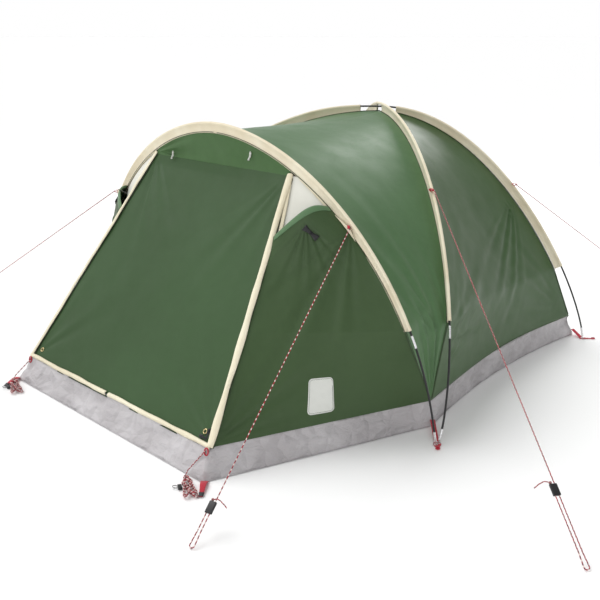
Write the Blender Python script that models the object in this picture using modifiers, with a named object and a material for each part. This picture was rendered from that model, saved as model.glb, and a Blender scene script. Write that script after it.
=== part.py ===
"""Dome tent with a porch, pitched: three jointed poles, a sewn fly, groundsheet, inner wall and guy lines.

Metres, +Z up, X across the tent, the porch door faces -Y. The ground is z = 0.
"""

import math

import bmesh
import bpy
from mathutils import Matrix, Vector

# ---------------------------------------------------------------- driving dimensions
LENGTH = 2.40                    # porch edge to rear strap ends
FRONT_FOOT = (1.085, -0.360)     # where the hoop and a main pole stand, on the right
REAR_FOOT = (0.893, 1.147)       # where the other end of a main pole stands
APEX = Vector((0.0, 0.527, 1.183))
HOOP_TOP = 1.164
HOOP_LEAN = 0.167                # how far the hoop's top leans towards the porch
PORCH_HALF = 0.676               # half of the porch's front ground edge
SKIRT_HEIGHT = 0.105

# pole shape: exponents of a rounded arch, and the sideways bow of the front halves
FRONT_PLAN, FRONT_RISE, FRONT_BOW = 1.04, 1.246, 0.077
REAR_PLAN, REAR_RISE, REAR_BOW = 1.064, 1.543, 0.002
HOOP_PLAN, HOOP_RISE, HOOP_SIDE = 1.057, 0.97, 0.814
FOOT_SPREAD = 0.010              # half of the distance between two poles in one strap
TIP_Z = 0.012                    # underside of a pole's end, on its grommet
CROSS_DROP = 0.0145              # the second main pole passes this far under the first

# poles
POLE_RADIUS = 0.00425
TIP_RADIUS = 0.0052
TIP_LENGTH = 0.050
FERRULE_RADIUS = 0.0050
FERRULE_WALL = 0.0008
FERRULE_LENGTH = 0.050
COLLAR = 0.026                   # a section keeps to its curve closely inside its ferrule
SECTION = 0.430                  # one pole section, tip to the middle of its ferrule
GAP = 0.0003

# fabric
CLOTH = 0.0012
SEAM = 0.003                     # a panel stops this far from the seam it shares
ROOF_SEAM = 0.016                # the porch roof starts beside the main poles' sleeves
RIB_DROP = 0.037                 # seam line under a pole's centre
SLEEVE_END = {"main_front": 0.475, "main_rear": 0.398, "hoop": 0.475}
SLEEVE_GAP = 0.115               # bare pole each side of the crossing
FRONT_CORNER = Vector((0.972, -0.243, 0.0))
REAR_CORNER = Vector((0.822, 1.168, 0.0))
PORCH_CORNER = Vector((PORCH_HALF, -LENGTH / 2 + CLOTH, 0.0))
FRONT_TOP = Vector((0.955, -0.235, SKIRT_HEIGHT))
REAR_TOP = Vector((0.806, 1.146, SKIRT_HEIGHT))
PORCH_TOP = Vector((0.645, -1.135, SKIRT_HEIGHT))
SIDE_BOW, REAR_EDGE_BOW = 0.065, 0.045   # ground edges curve in between the corners

# porch door and vents
DOOR_TOP_HALF = 0.440
DOOR_TOP_Z = 1.000
HOOD_LOW, HOOD_HIGH = 0.620, 0.800
HOOD_RISE = 0.068
STRUT_LENGTH, STRUT_WIDTH = 0.046, 0.020

# inner wall and its door
WALL_FOOT_Y, WALL_TOP_Y, WALL_TOP_Z = -0.215, 0.400, 1.060
INNER_DOOR_HALF, INNER_DOOR_HEIGHT, INNER_DOOR_FOOT = 0.300, 0.780, 0.130

# guy lines: where each leaves the tent, and where it reaches the ground
CORD_RADIUS = 0.002
LOOP_RADIUS = 0.009
TENSIONER = (0.042, 0.026, 0.009)
BORE_RADIUS = 0.0029
LINE_SPREAD = 0.0065             # half of the distance between a line and its return
LINES = {
    "hoop_left": (Vector((-0.856, -0.500, 0.760)), Vector((-2.100, -0.760, 0.004)), 0.19),
    "hoop_right": (Vector((0.738, -0.512, 0.832)), Vector((0.973, -1.483, 0.004)), 0.13),
    "side_right": (Vector((0.706, 0.046, 0.898)), Vector((1.903, -0.709, 0.004)), 0.26),
    "rear_right": (Vector((0.574, 0.918, 0.798)), Vector((0.700, 2.340, 0.004)), 0.22),
}

# the porch corners' cords, tied up in hanks: centre, and the turn of the hank's length from the Y axis
HANK_LENGTH, HANK_WIDTH, HANK_HEIGHT = 0.150, 0.050, 0.024
HANKS = {
    "right": (Vector((0.675, -1.262, 0.013)), math.radians(60)),
    "left": (Vector((-0.585, -1.262, 0.013)), math.radians(68)),
}

COLORS = {
    "fly": ((0.075, 0.140, 0.065), 0.75, 0.0),
    "cream": ((0.800, 0.720, 0.560), 0.75, 0.0),
    "skirt": ((0.400, 0.380, 0.390), 0.55, 0.0),
    "rod": ((0.015, 0.015, 0.017), 0.35, 0.0),
    "steel": ((0.650, 0.650, 0.660), 0.30, 1.0),
    "webbing": ((0.600, 0.020, 0.040), 0.80, 0.0),
    "cord": ((0.700, 0.120, 0.140), 0.80, 0.0),
    "plastic": ((0.020, 0.020, 0.022), 0.45, 0.0),
    "mesh_wall": ((0.620, 0.600, 0.540), 0.85, 0.0),
}


# ---------------------------------------------------------------- scene and helpers
def clear_scene():
    for old in list(bpy.data.objects):
        bpy.data.objects.remove(old)


def make_collection(name):
    group = bpy.data.collections.new(name)
    bpy.context.scene.collection.children.link(group)
    return group


def make_material(name):
    color, roughness, metallic = COLORS[name]
    material = bpy.data.materials.new(name)
    material.use_nodes = True
    shader = material.node_tree.nodes["Principled BSDF"]
    shader.inputs["Base Color"].default_value = (*color, 1.0)
    shader.inputs["Roughness"].default_value = roughness
    shader.inputs["Metallic"].default_value = metallic
    material.diffuse_color = (*color, 1.0)
    return material


def add_object(name, data, slot, place=None):
    piece = bpy.data.objects.new(name, data)
    if not data.materials:
        data.materials.append(MATERIALS[slot])
    TENT.objects.link(piece)
    if place is not None:
        piece.matrix_world = place
    return piece


def mix(a, b, share):
    return a + (b - a) * share


def mirrored(point):
    return Vector((-point[0], point[1], point[2]))


class Route:
    """A curve as closely spaced points, which can be read at any length along it."""

    def __init__(self, points):
        self.points = [Vector(p) for p in points]
        self.marks = [0.0]
        for a, b in zip(self.points, self.points[1:]):
            self.marks.append(self.marks[-1] + (b - a).length)
        self.length = self.marks[-1]

    def at(self, distance):
        distance = min(max(distance, 0.0), self.length)
        low, high = 0, len(self.marks) - 1
        while high - low > 1:
            middle = (low + high) // 2
            if self.marks[middle] <= distance:
                low = middle
            else:
                high = middle
        span = self.marks[high] - self.marks[low]
        share = (distance - self.marks[low]) / span if span else 0.0
        return mix(self.points[low], self.points[high], share)

    def tangent(self, distance):
        return (self.at(distance + 0.004) - self.at(distance - 0.004)).normalized()

    def stretch(self, start, end, count, collar=0.0):
        """Evenly spaced points; collar adds one this far inside each end, so that the ends stay square."""
        marks = [mix(start, end, i / (count - 1)) for i in range(count)]
        if collar:
            step = math.copysign(collar, end - start)
            marks[1:1] = [start + step / 5, start + step]
            marks[-1:-1] = [end - step, end - step / 5]
        return [self.at(mark) for mark in marks]

    def share(self, part):
        return self.at(part * self.length)

    def at_height(self, height):
        """The first point of the route that is this high."""
        for a, b in zip(self.points, self.points[1:]):
            if a.z <= height <= b.z:
                return mix(a, b, (height - a.z) / max(b.z - a.z, 1e-9))
        return self.points[-1].copy()


def tube(name, points, radius, slot, capped=True):
    """A round bar or cord along points, as a bevelled curve."""
    data = bpy.data.curves.new(name, "CURVE")
    data.dimensions = "3D"
    data.bevel_depth = radius
    data.bevel_resolution = 2
    data.use_fill_caps = capped
    data.resolution_u = 1
    spline = data.splines.new("POLY")
    spline.points.add(len(points) - 1)
    for knot, point in zip(spline.points, points):
        knot.co = (*point, 1.0)
    return add_object(name, data, slot)


def plate(name, outlines, thickness, slot, place):
    """A flat plate from closed outlines in its own XY plane; outlines after the first are holes."""
    data = bpy.data.curves.new(name, "CURVE")
    data.dimensions = "2D"
    data.fill_mode = "BOTH"
    data.extrude = thickness / 2
    for outline in outlines:
        spline = data.splines.new("POLY")
        spline.points.add(len(outline) - 1)
        spline.use_cyclic_u = True
        for knot, (x, y) in zip(spline.points, outline):
            knot.co = (x, y, 0.0, 1.0)
    return add_object(name, data, slot, place)


def surface_mesh(name, rows, closed=False):
    """An open surface through rows of points; closed joins the last column to the first."""
    mesh = bpy.data.meshes.new(name)
    shape = bmesh.new()
    grid = [[shape.verts.new(point) for point in row] for row in rows]
    count = len(grid[0])
    for lower, upper in zip(grid, grid[1:]):
        for j in range(count if closed else count - 1):
            k = (j + 1) % count
            shape.faces.new((lower[j], lower[k], upper[k], upper[j]))
    bmesh.ops.recalc_face_normals(shape, faces=shape.faces)
    shape.to_mesh(mesh)
    shape.free()
    mesh.shade_smooth()
    return mesh


def shell(name, rows, slot, thickness=CLOTH, closed=False, offset=0.0):
    """A sheet of fabric or a thin tube: an open surface with Solidify."""
    piece = add_object(name, surface_mesh(name, rows, closed), slot)
    solid = piece.modifiers.new("thickness", "SOLIDIFY")
    solid.thickness = thickness
    solid.offset = offset
    return piece


def ribbon(name, points, width, thickness, across, slot):
    """A flat strap along points, with its width along the direction across."""
    half = across.normalized() * width / 2
    rows = [[point - half, point + half] for point in points]
    return shell(name, rows, slot, thickness)


# ---------------------------------------------------------------- the poles' centre lines
def arch(t, foot, plan, rise, bow, drop):
    """A point of one half of a main pole; t runs from 0 at its foot to pi / 2 at the apex."""
    across = Vector(foot) - APEX.xy
    side = Vector((-across.y, across.x)).normalized()
    if side.y < 0:
        side = -side
    xy = APEX.xy + across * math.cos(t) ** plan
    xy = xy + side * bow * math.sin(math.pi * (1 - t / (math.pi / 2)))
    z = APEX.z * math.sin(t) ** rise + TIP_Z * (1 - math.sin(t))
    z -= drop * math.exp(-((xy - APEX.xy).length / 0.22) ** 2)
    return Vector((xy.x, xy.y, z))


def main_pole(side, drop):
    """A main pole from its front foot on one side (1 right, -1 left) to its rear foot on the other."""
    steps = [math.pi / 2 * i / 240 for i in range(241)]
    front_foot = (FRONT_FOOT[0] * side, FRONT_FOOT[1] + FOOT_SPREAD)
    rear_foot = (-REAR_FOOT[0] * side, REAR_FOOT[1])
    front = [arch(t, front_foot, FRONT_PLAN, FRONT_RISE, FRONT_BOW, drop) for t in steps]
    rear = [arch(t, rear_foot, REAR_PLAN, REAR_RISE, REAR_BOW, drop) for t in steps]
    return Route(front + rear[-2::-1])


def hoop_pole():
    """The porch hoop, from its right foot over the top to its left foot."""
    points = []
    for i in range(481):
        t = math.pi * i / 480
        across = math.copysign(abs(math.cos(t)) ** HOOP_PLAN, math.cos(t))
        rise = max(math.sin(t), 0.0)
        y = FRONT_FOOT[1] - FOOT_SPREAD - HOOP_LEAN * rise ** HOOP_SIDE
        z = HOOP_TOP * rise ** HOOP_RISE + TIP_Z * (1 - rise)
        points.append(Vector((FRONT_FOOT[0] * across, y, z)))
    return Route(points)


def outward(point, tangent, over_hoop):
    """The direction away from the tent, square to a pole."""
    centre = Vector((0.0, point.y if over_hoop else APEX.y, 0.22))
    away = point - centre
    return (away - tangent * away.dot(tangent)).normalized()


def seam_line(route, sleeve_end, corner_top, over_hoop, half_length):
    """The fabric's seam under half a pole: straight up from the corner, then along under the sleeve."""
    points = []
    for i in range(161):
        distance = mix(sleeve_end, half_length, i / 160)
        point, tangent = route.at(distance), route.tangent(distance)
        points.append(point - outward(point, tangent, over_hoop) * RIB_DROP)
    first = points[0]
    climb = [mix(corner_top, first, i / 20) for i in range(20)]
    return Route(climb + points)


# ---------------------------------------------------------------- poles and sleeves
def build_pole(name, route):
    """Two end sections with tips and ferrules, and the two runs between them."""
    length = route.length
    middle = length / 2
    for end, turn in (("1", False), ("2", True)):
        def reach(distance):
            return length - distance if turn else distance
        tube(f"{name}_tip_{end}", route.stretch(reach(0.0), reach(TIP_LENGTH), 5), TIP_RADIUS, "steel")
        tube(f"{name}_end_{end}", route.stretch(reach(TIP_LENGTH + GAP), reach(SECTION - GAP / 2), 6, COLLAR),
             POLE_RADIUS, "rod")
        half = FERRULE_LENGTH / 2
        joint = route.stretch(reach(SECTION - half), reach(SECTION + half), 3)
        ferrule = tube(f"{name}_ferrule_{end}", joint, FERRULE_RADIUS, "steel", capped=False)
        wall = ferrule.modifiers.new("wall", "SOLIDIFY")
        wall.thickness = FERRULE_WALL
        wall.offset = 1.0
        run = route.stretch(reach(SECTION + GAP / 2), reach(middle - GAP / 2), 16, COLLAR)
        tube(f"{name}_run_{end}", run, POLE_RADIUS, "rod")


def sleeve_section(drop):
    """A sewn sleeve's outline around a pole at (0, 0); it hangs down to its seam, drop below."""
    return [(0.0, 0.0098), (0.0085, 0.0045), (0.0095, -0.35 * drop), (0.0100, -drop),
            (-0.0100, -drop), (-0.0095, -0.35 * drop), (-0.0085, 0.0045)]


def build_sleeve(name, route, start, end, over_hoop, crossing=None, level=None):
    """A sleeve between two distances along a pole; at a crossing it closes tightly round its pole.

    level is the pole's line before it was lowered to pass under the other, where the seam still runs.
    """
    count = max(3, round((end - start) / 0.075) + 1)
    stations = [mix(start, end, i / (count - 1)) for i in range(count)]
    if crossing is not None:
        stations = [s for s in stations if abs(s - crossing) > 0.075]
        stations += [crossing + shift for shift in (-0.060, -0.028, 0.0, 0.028, 0.060)]
        stations.sort()
    rows = []
    for distance in stations:
        point, tangent = route.at(distance), route.tangent(distance)
        away = outward(point, tangent, over_hoop)
        across = tangent.cross(away)
        near = crossing is not None and abs(distance - crossing) < 0.04
        lowered = (level.at(distance) - point).length if level else 0.0
        section = sleeve_section(0.0078 if near else RIB_DROP - 0.004 - lowered)
        rows.append([point + across * x + away * y for x, y in section])
    return shell(name, rows, "cream", thickness=0.001, closed=True, offset=-1.0)


# ---------------------------------------------------------------- fabric panels
def sagged(point, amount):
    """The point, moved in towards the middle of the tent."""
    centre = Vector((0.0, APEX.y, 0.22))
    return point + (centre - point).normalized() * amount


def panel_rows(edge_a, edge_b, start, end, rows, columns, sag, seam_a=SEAM):
    """A fabric panel between two seams, from share start to share end of their length."""
    grid = []
    for i in range(rows + 1):
        share = mix(start, end, i / rows)
        a, b = edge_a.share(share), edge_b.share(share)
        along = (b - a).normalized()
        a, b = a + along * seam_a, b - along * SEAM
        grid.append([sagged(mix(a, b, j / columns), sag(share) * 4 * (j / columns) * (1 - j / columns))
                     for j in range(columns + 1)])
    return grid


def side_sag(share):
    return (SIDE_BOW - 0.010) * (1 - share) ** 1.3 + 0.010 * share * (1 - share) * 4


def rear_sag(share):
    return (REAR_EDGE_BOW - 0.010) * (1 - share) ** 1.3 + 0.010 * share * (1 - share) * 4


def roof_sag(share):
    return 0.020 * share


def build_fly(seams):
    """Two sides, the rear and the porch roof."""
    start, end = 0.004, 0.985
    for name, front, rear, sag in (("fly_right", "front_right", "rear_right", side_sag),
                                   ("fly_left", "front_left", "rear_left", side_sag),
                                   ("fly_rear", "rear_right", "rear_left", rear_sag)):
        shell(name, panel_rows(seams[front], seams[rear], start, end, 9, 6, sag), "fly")
    right = panel_rows(seams["front_right"], seams["hoop_right"], 0.10, 1.0, 9, 4, roof_sag, ROOF_SEAM)
    left = panel_rows(seams["front_left"], seams["hoop_left"], 0.10, 1.0, 9, 4, roof_sag, ROOF_SEAM)
    shell("porch_roof", right + left[-2::-1], "fly")


def zip_line(share):
    """A point of the right-hand zip, from the porch's corner to the door's top corner."""
    return mix(PORCH_TOP, Vector((DOOR_TOP_HALF, door_top_y(), DOOR_TOP_Z)), share)


def door_top_y():
    """The door's top edge lies on the hoop's seam."""
    return SEAMS["hoop_right"].at_height(DOOR_TOP_Z).y - 0.004


def side_point(across, height):
    """A point of the right porch side: across runs from the zip (0) to the hoop's seam (1)."""
    front = zip_line((height - SKIRT_HEIGHT) / (DOOR_TOP_Z - SKIRT_HEIGHT))
    back = SEAMS["hoop_right"].at_height(height)
    inset = (back - front).normalized() * SEAM
    return mix(front + inset, back - inset, across)


def side_normal(across, height):
    along = side_point(1.0, height) - side_point(0.0, height)
    up = side_point(across, height + 0.01) - side_point(across, height - 0.01)
    normal = along.cross(up).normalized()
    return normal if normal.x > 0 else -normal


def build_porch_front():
    """The two porch sides with the vents' upper panels, joined by the brow over the door."""
    heights = [mix(SKIRT_HEIGHT + SEAM, DOOR_TOP_Z - 0.012, i / 8) for i in range(9)]
    right = [[side_point(j / 4, height) for j in range(5)] for height in heights]
    left = [[mirrored(point) for point in row] for row in right]
    hoop = SEAMS["hoop_right"]
    brow = []
    for i in range(9):
        x = mix(DOOR_TOP_HALF - 0.004, -DOOR_TOP_HALF + 0.004, i / 8)
        low = Vector((x, door_top_y(), DOOR_TOP_Z + 0.004))
        high = next(p for p in hoop.points if p.z > DOOR_TOP_Z and p.x <= abs(x) + 0.004)
        high = Vector((x, high.y - 0.002, high.z - SEAM))
        brow.append([mix(low, high, j / 4) for j in range(5)])
    return shell("porch_front", right + brow + left[::-1], "fly")


def build_vent(name, side):
    """A vent hood: the porch side's fabric, standing off the vent panel along its top edge."""
    turn = mirrored if side < 0 else Vector
    rows = []
    for i in range(5):
        share = i / 4
        height = mix(HOOD_LOW, HOOD_HIGH, share)
        row = []
        for j in range(7):
            across = mix(0.015, 0.985, j / 6)
            off = 0.004 + HOOD_RISE * math.sin(math.pi * across) ** 0.8 * share
            row.append(turn(side_point(across, height) + side_normal(across, height) * off))
        rows.append(row)
    return shell(f"vent_hood_{name}", rows, "fly")


def strut_frame(side):
    """The foot of a vent's strut, and the directions along the hood and out of the panel."""
    height = HOOD_HIGH - 0.012
    foot = side_point(0.5, height) + side_normal(0.5, height) * 0.004
    along = (side_point(0.9, height) - side_point(0.1, height)).normalized()
    out = side_normal(0.5, height)
    if side < 0:
        foot, along, out = mirrored(foot), mirrored(along), mirrored(out)
    return foot, along, out


def build_strut(name, side):
    foot, along, out = strut_frame(side)
    hinge = bpy.data.objects.new(f"vent_strut_{name}_hinge", None)
    hinge.location = foot
    TENT.objects.link(hinge)
    points = [out * STRUT_LENGTH * i / 2 for i in range(3)]
    strut = ribbon(f"vent_strut_{name}", points, STRUT_WIDTH, 0.0015, along, "plastic")
    strut.parent = hinge
    return strut


def door_frame():
    """The porch door's own frame: origin on its hinge, X across, Y up the door, Z out of it."""
    top = Vector((0.0, door_top_y(), DOOR_TOP_Z))
    up = (top - Vector((0.0, PORCH_TOP.y, PORCH_TOP.z))).normalized()
    out = Vector((1, 0, 0)).cross(up)
    return Matrix.Translation(top) @ Matrix((Vector((1, 0, 0)), up, out)).transposed().to_4x4()


def door_length():
    return (Vector((0.0, door_top_y(), DOOR_TOP_Z)) - Vector((0.0, PORCH_TOP.y, PORCH_TOP.z))).length


def build_door():
    low, edge = -door_length() + SEAM, 0.005
    outline = [(-PORCH_TOP.x + edge, low), (PORCH_TOP.x - edge, low),
               (DOOR_TOP_HALF - edge, -SEAM), (-DOOR_TOP_HALF + edge, -SEAM)]
    return plate("front_door", [outline], CLOTH, "fly", door_frame())


def block(size, place=None):
    """A box mesh of this size, centred on its own origin unless it is placed."""
    mesh = bpy.data.meshes.new("block")
    shape = bmesh.new()
    bmesh.ops.create_cube(shape, size=1.0, matrix=(place or Matrix()) @ Matrix.Diagonal((*size, 1.0)))
    shape.to_mesh(mesh)
    shape.free()
    return mesh


def bore(radius, depth, place):
    mesh = bpy.data.meshes.new("bore")
    shape = bmesh.new()
    bmesh.ops.create_cone(shape, cap_ends=True, segments=8, radius1=radius, radius2=radius,
                          depth=depth, matrix=place)
    shape.to_mesh(mesh)
    shape.free()
    return mesh


def combined(name, base, others, operation):
    """A mesh cut by others, or joined with them, as one closed mesh."""
    whole = bpy.data.objects.new(name, base)
    CUTTERS.objects.link(whole)
    for mesh in others:
        other = bpy.data.objects.new(f"{name}_cutter", mesh)
        other.hide_render = True
        other.display_type = "WIRE"
        CUTTERS.objects.link(other)
        step = whole.modifiers.new("combine", "BOOLEAN")
        step.object = other
        step.operation = operation
        step.solver = "EXACT"
    evaluated = whole.evaluated_get(bpy.context.evaluated_depsgraph_get())
    result = bpy.data.meshes.new_from_object(evaluated)
    result.name = name
    bpy.data.objects.remove(whole)
    return result


def slider_mesh():
    """A zip slider with its pull: a body and a tongue, in one piece."""
    tongue = block((0.007, 0.030, 0.002), Matrix.Translation((0.0, -0.018, 0.0005)))
    return combined("zip_slider", block((0.013, 0.020, 0.006)), [tongue], "UNION")


def build_zip_sliders():
    """One slider for the side zip and one for the bottom zip, both parked in the right corner."""
    frame = door_frame()
    length = door_length()
    lean = math.atan2(PORCH_TOP.x - DOOR_TOP_HALF, length)
    mesh = slider_mesh()
    side_place = Vector((PORCH_TOP.x - 0.020, -length + 0.052, 0.0065))
    side = add_object("zip_slider_side", mesh, "plastic",
                      frame @ Matrix.Translation(side_place) @ Matrix.Rotation(lean, 4, "Z"))
    low_place = Vector((PORCH_TOP.x - 0.060, -length + 0.012, 0.0065))
    low = add_object("zip_slider_bottom", mesh.copy(), "plastic",
                     frame @ Matrix.Translation(low_place) @ Matrix.Rotation(math.pi / 2, 4, "Z"))
    return side, low


# ---------------------------------------------------------------- skirt and groundsheet
def bowed_edge(a, b, bow, count):
    """Points from a to b, curving in towards the middle of the tent; b is left out."""
    centre = Vector((0.0, 0.4, a.z))
    middle = (a + b) / 2
    inward = (centre - middle)
    across = (b - a).normalized()
    inward = (inward - across * inward.dot(across)).normalized()
    return [mix(a, b, i / count) + inward * bow * 4 * (i / count) * (1 - i / count) for i in range(count)]


def ring(porch, front, rear, side_bow, rear_bow):
    """The closed ground outline through the tent's six corners, from the front edge round to the right."""
    points = bowed_edge(mirrored(porch), porch, 0.0, 5)
    points += bowed_edge(porch, front, 0.0, 4)
    points += bowed_edge(front, rear, side_bow, 8)
    points += bowed_edge(rear, mirrored(rear), rear_bow, 8)
    points += bowed_edge(mirrored(rear), mirrored(front), side_bow, 8)
    points += bowed_edge(mirrored(front), mirrored(porch), 0.0, 4)
    return points


def lifted(corner, height):
    return Vector((corner.x, corner.y, height))


def build_skirt():
    low = ring(lifted(PORCH_CORNER, 0.001), lifted(FRONT_CORNER, 0.001), lifted(REAR_CORNER, 0.001),
               SIDE_BOW, REAR_EDGE_BOW)
    top_z = SKIRT_HEIGHT - 0.0035
    high = ring(lifted(PORCH_TOP, top_z), lifted(FRONT_TOP, top_z), lifted(REAR_TOP, top_z),
                SIDE_BOW - 0.010, REAR_EDGE_BOW - 0.010)
    return shell("skirt", [low, high], "skirt", closed=True)


def build_groundsheet():
    inset = 0.004
    corners = [Vector((c.x - inset, c.y + shift, 0.0)) for c, shift in
               ((PORCH_CORNER, inset), (FRONT_CORNER, inset), (REAR_CORNER, -inset))]
    outline = ring(*corners, SIDE_BOW + inset, REAR_EDGE_BOW + inset)
    thickness = 0.0015
    place = Matrix.Translation((0.0, 0.0, thickness / 2))
    return plate("groundsheet", [[(p.x, p.y) for p in outline]], thickness, "skirt", place)


# ---------------------------------------------------------------- inner wall
def wall_frame():
    """The inner wall's own frame: origin at its foot, X across, Y up the wall, Z towards the porch."""
    foot = Vector((0.0, WALL_FOOT_Y, 0.006))
    up = (Vector((0.0, WALL_TOP_Y, WALL_TOP_Z)) - foot).normalized()
    out = Vector((1, 0, 0)).cross(up)
    return Matrix.Translation(foot) @ Matrix((Vector((1, 0, 0)), up, out)).transposed().to_4x4()


def arch_outline(half, foot, height, count):
    """A door shape: straight sides under a half-round top."""
    spring = foot + height - half
    round_top = [(half * math.cos(math.pi * i / count), spring + half * math.sin(math.pi * i / count))
                 for i in range(count + 1)]
    return [(-half, foot), (half, foot)] + round_top


def build_inner_wall():
    """The wall between porch and cabin, with an arched doorway and a door that fills it."""
    frame = wall_frame()
    slope = (frame.to_3x3() @ Vector((0, 1, 0))).z
    seam = SEAMS["front_right"]
    right = []
    for i in range(9):
        height = mix(SKIRT_HEIGHT, WALL_TOP_Z - 0.03, i / 8)
        right.append((seam.at_height(height).x * 0.90 - 0.045, height / slope))
    right.insert(0, (right[0][0], 0.0))
    outline = right + [(-x, y) for x, y in right[::-1]]
    hole = arch_outline(INNER_DOOR_HALF, INNER_DOOR_FOOT, INNER_DOOR_HEIGHT, 10)
    plate("inner_wall", [outline, hole], CLOTH, "mesh_wall", frame)
    leaf = arch_outline(INNER_DOOR_HALF - 0.004, INNER_DOOR_FOOT + 0.004, INNER_DOOR_HEIGHT - 0.008, 10)
    hinge = Matrix.Translation((-INNER_DOOR_HALF, 0.0, 0.0))
    leaf = [(x + INNER_DOOR_HALF, y) for x, y in leaf]
    plate("inner_door", [leaf], CLOTH, "mesh_wall", frame @ hinge)


# ---------------------------------------------------------------- straps, cords and their fittings
def build_strap(name, corner, foot, end):
    """A webbing strap from the skirt's corner down under the pole ends, to its peg loop."""
    start = mix(Vector((*corner.xy, 0.030)), Vector((*foot, 0.030)), 0.08)
    landing = Vector((*foot, 0.0035))
    flat = mix(start, landing, 0.84)
    points = [start, mix(start, landing, 0.55) - Vector((0, 0, 0.004)), Vector((flat.x, flat.y, 0.0035)),
              Vector((*foot, 0.0020)), Vector((*end, 0.0020))]
    along = Vector((*foot, 0.0)) - Vector((*corner.xy, 0.0))
    across = Vector((-along.y, along.x, 0.0))
    return ribbon(name, points, 0.036, 0.0016, across, "webbing")


def build_straps():
    for name, side in (("right", 1), ("left", -1)):
        turn = mirrored if side < 0 else Vector
        corner, foot = turn(FRONT_CORNER), (FRONT_FOOT[0] * side, FRONT_FOOT[1])
        build_strap(f"strap_front_{name}", corner, foot, (1.112 * side, -0.392))
        corner, foot = turn(REAR_CORNER), (REAR_FOOT[0] * side, REAR_FOOT[1])
        build_strap(f"strap_rear_{name}", corner, foot, (0.935 * side, 1.18205))


def tensioner_mesh():
    """A block with two bores along its length: one for the line, one for its loop's return."""
    upright = Matrix.Rotation(math.pi / 2, 4, "Y")
    bores = [bore(BORE_RADIUS, TENSIONER[0] * 1.2, Matrix.Translation((0.0, place, 0.0)) @ upright)
             for place in (-LINE_SPREAD, LINE_SPREAD)]
    return combined("tensioner", block(TENSIONER), bores, "DIFFERENCE")


def line_frame(start, end):
    """Directions along a line, level across it and square to both."""
    along = (end - start).normalized()
    across = along.cross(Vector((0, 0, 1))).normalized()
    return along, across, across.cross(along)


def build_line(name, start, end, grip, mesh):
    """A guy line: down to the ground, round its peg and back up into the tensioner."""
    along, across, lift = line_frame(start, end)
    spread = LINE_SPREAD
    turn = end - along * LOOP_RADIUS
    down = [mix(start, turn - along * 0.05, i / 18) - across * spread for i in range(19)]
    down += [turn - along * 0.025 - across * (spread + LOOP_RADIUS) / 2]
    bend = [turn + (along * math.sin(a) - across * math.cos(a)) * LOOP_RADIUS
            for a in (math.pi * i / 8 for i in range(9))]
    back = [turn - along * 0.025 + across * (spread + LOOP_RADIUS) / 2]
    back += [turn - along * (0.05 + (grip - 0.05) * i / 3) + across * spread for i in range(4)]
    tube(f"guy_{name}", down + bend + back, CORD_RADIUS, "cord")
    place = Matrix.Translation(turn - along * grip) @ Matrix((along, across, lift)).transposed().to_4x4()
    return add_object(f"tensioner_{name}", mesh, "plastic", place)


def build_corner_cord(name, side):
    """The porch corner's cord: a short strand down the skirt, and the rest in a tied hank on the ground."""
    centre, turn = HANKS[name]
    along = Vector((math.sin(turn), -math.cos(turn), 0.0))
    top = Vector((0.636 * side, -1.148, 0.096))
    low = centre - along * (HANK_LENGTH / 2 + 0.006) + Vector((0.0, 0.0, 0.007))
    strand = [mix(top, low, i / 6) for i in range(7)]
    tube(f"corner_cord_{name}", strand, CORD_RADIUS, "cord")
    half = HANK_WIDTH / 2
    outline = [(half * math.cos(a), HANK_LENGTH / 2 - half + half * math.sin(a))
               for a in (math.pi * i / 6 for i in range(7))]
    outline += [(-x, -y) for x, y in outline]
    place = Matrix.Translation(centre) @ Matrix.Rotation(turn, 4, "Z")
    plate(f"corner_hank_{name}", [outline], HANK_HEIGHT, "cord", place)


# ---------------------------------------------------------------- the tent
clear_scene()
TENT = make_collection("dome_tent")
CUTTERS = make_collection("cutters")
MATERIALS = {name: make_material(name) for name in COLORS}

POLE_A = main_pole(1, 0.0)
POLE_B = main_pole(-1, CROSS_DROP)
HOOP = hoop_pole()
HALF = next(m for p, m in zip(POLE_A.points, POLE_A.marks) if p.x <= 0)
PLAIN_B = main_pole(-1, 0.0)
REVERSED_A = Route(POLE_A.points[::-1])
REVERSED_B = Route(PLAIN_B.points[::-1])
REAR_HALF = POLE_A.length - HALF
REVERSED_HOOP = Route(HOOP.points[::-1])
SEAMS = {
    "front_right": seam_line(POLE_A, SLEEVE_END["main_front"], FRONT_TOP, False, HALF),
    "front_left": seam_line(PLAIN_B, SLEEVE_END["main_front"], mirrored(FRONT_TOP), False, HALF),
    "rear_right": seam_line(REVERSED_B, SLEEVE_END["main_rear"], REAR_TOP, False, REAR_HALF),
    "rear_left": seam_line(REVERSED_A, SLEEVE_END["main_rear"], mirrored(REAR_TOP), False, REAR_HALF),
    "hoop_right": seam_line(HOOP, SLEEVE_END["hoop"], FRONT_TOP, True, HOOP.length / 2),
    "hoop_left": seam_line(REVERSED_HOOP, SLEEVE_END["hoop"], mirrored(FRONT_TOP), True, HOOP.length / 2),
}

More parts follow.
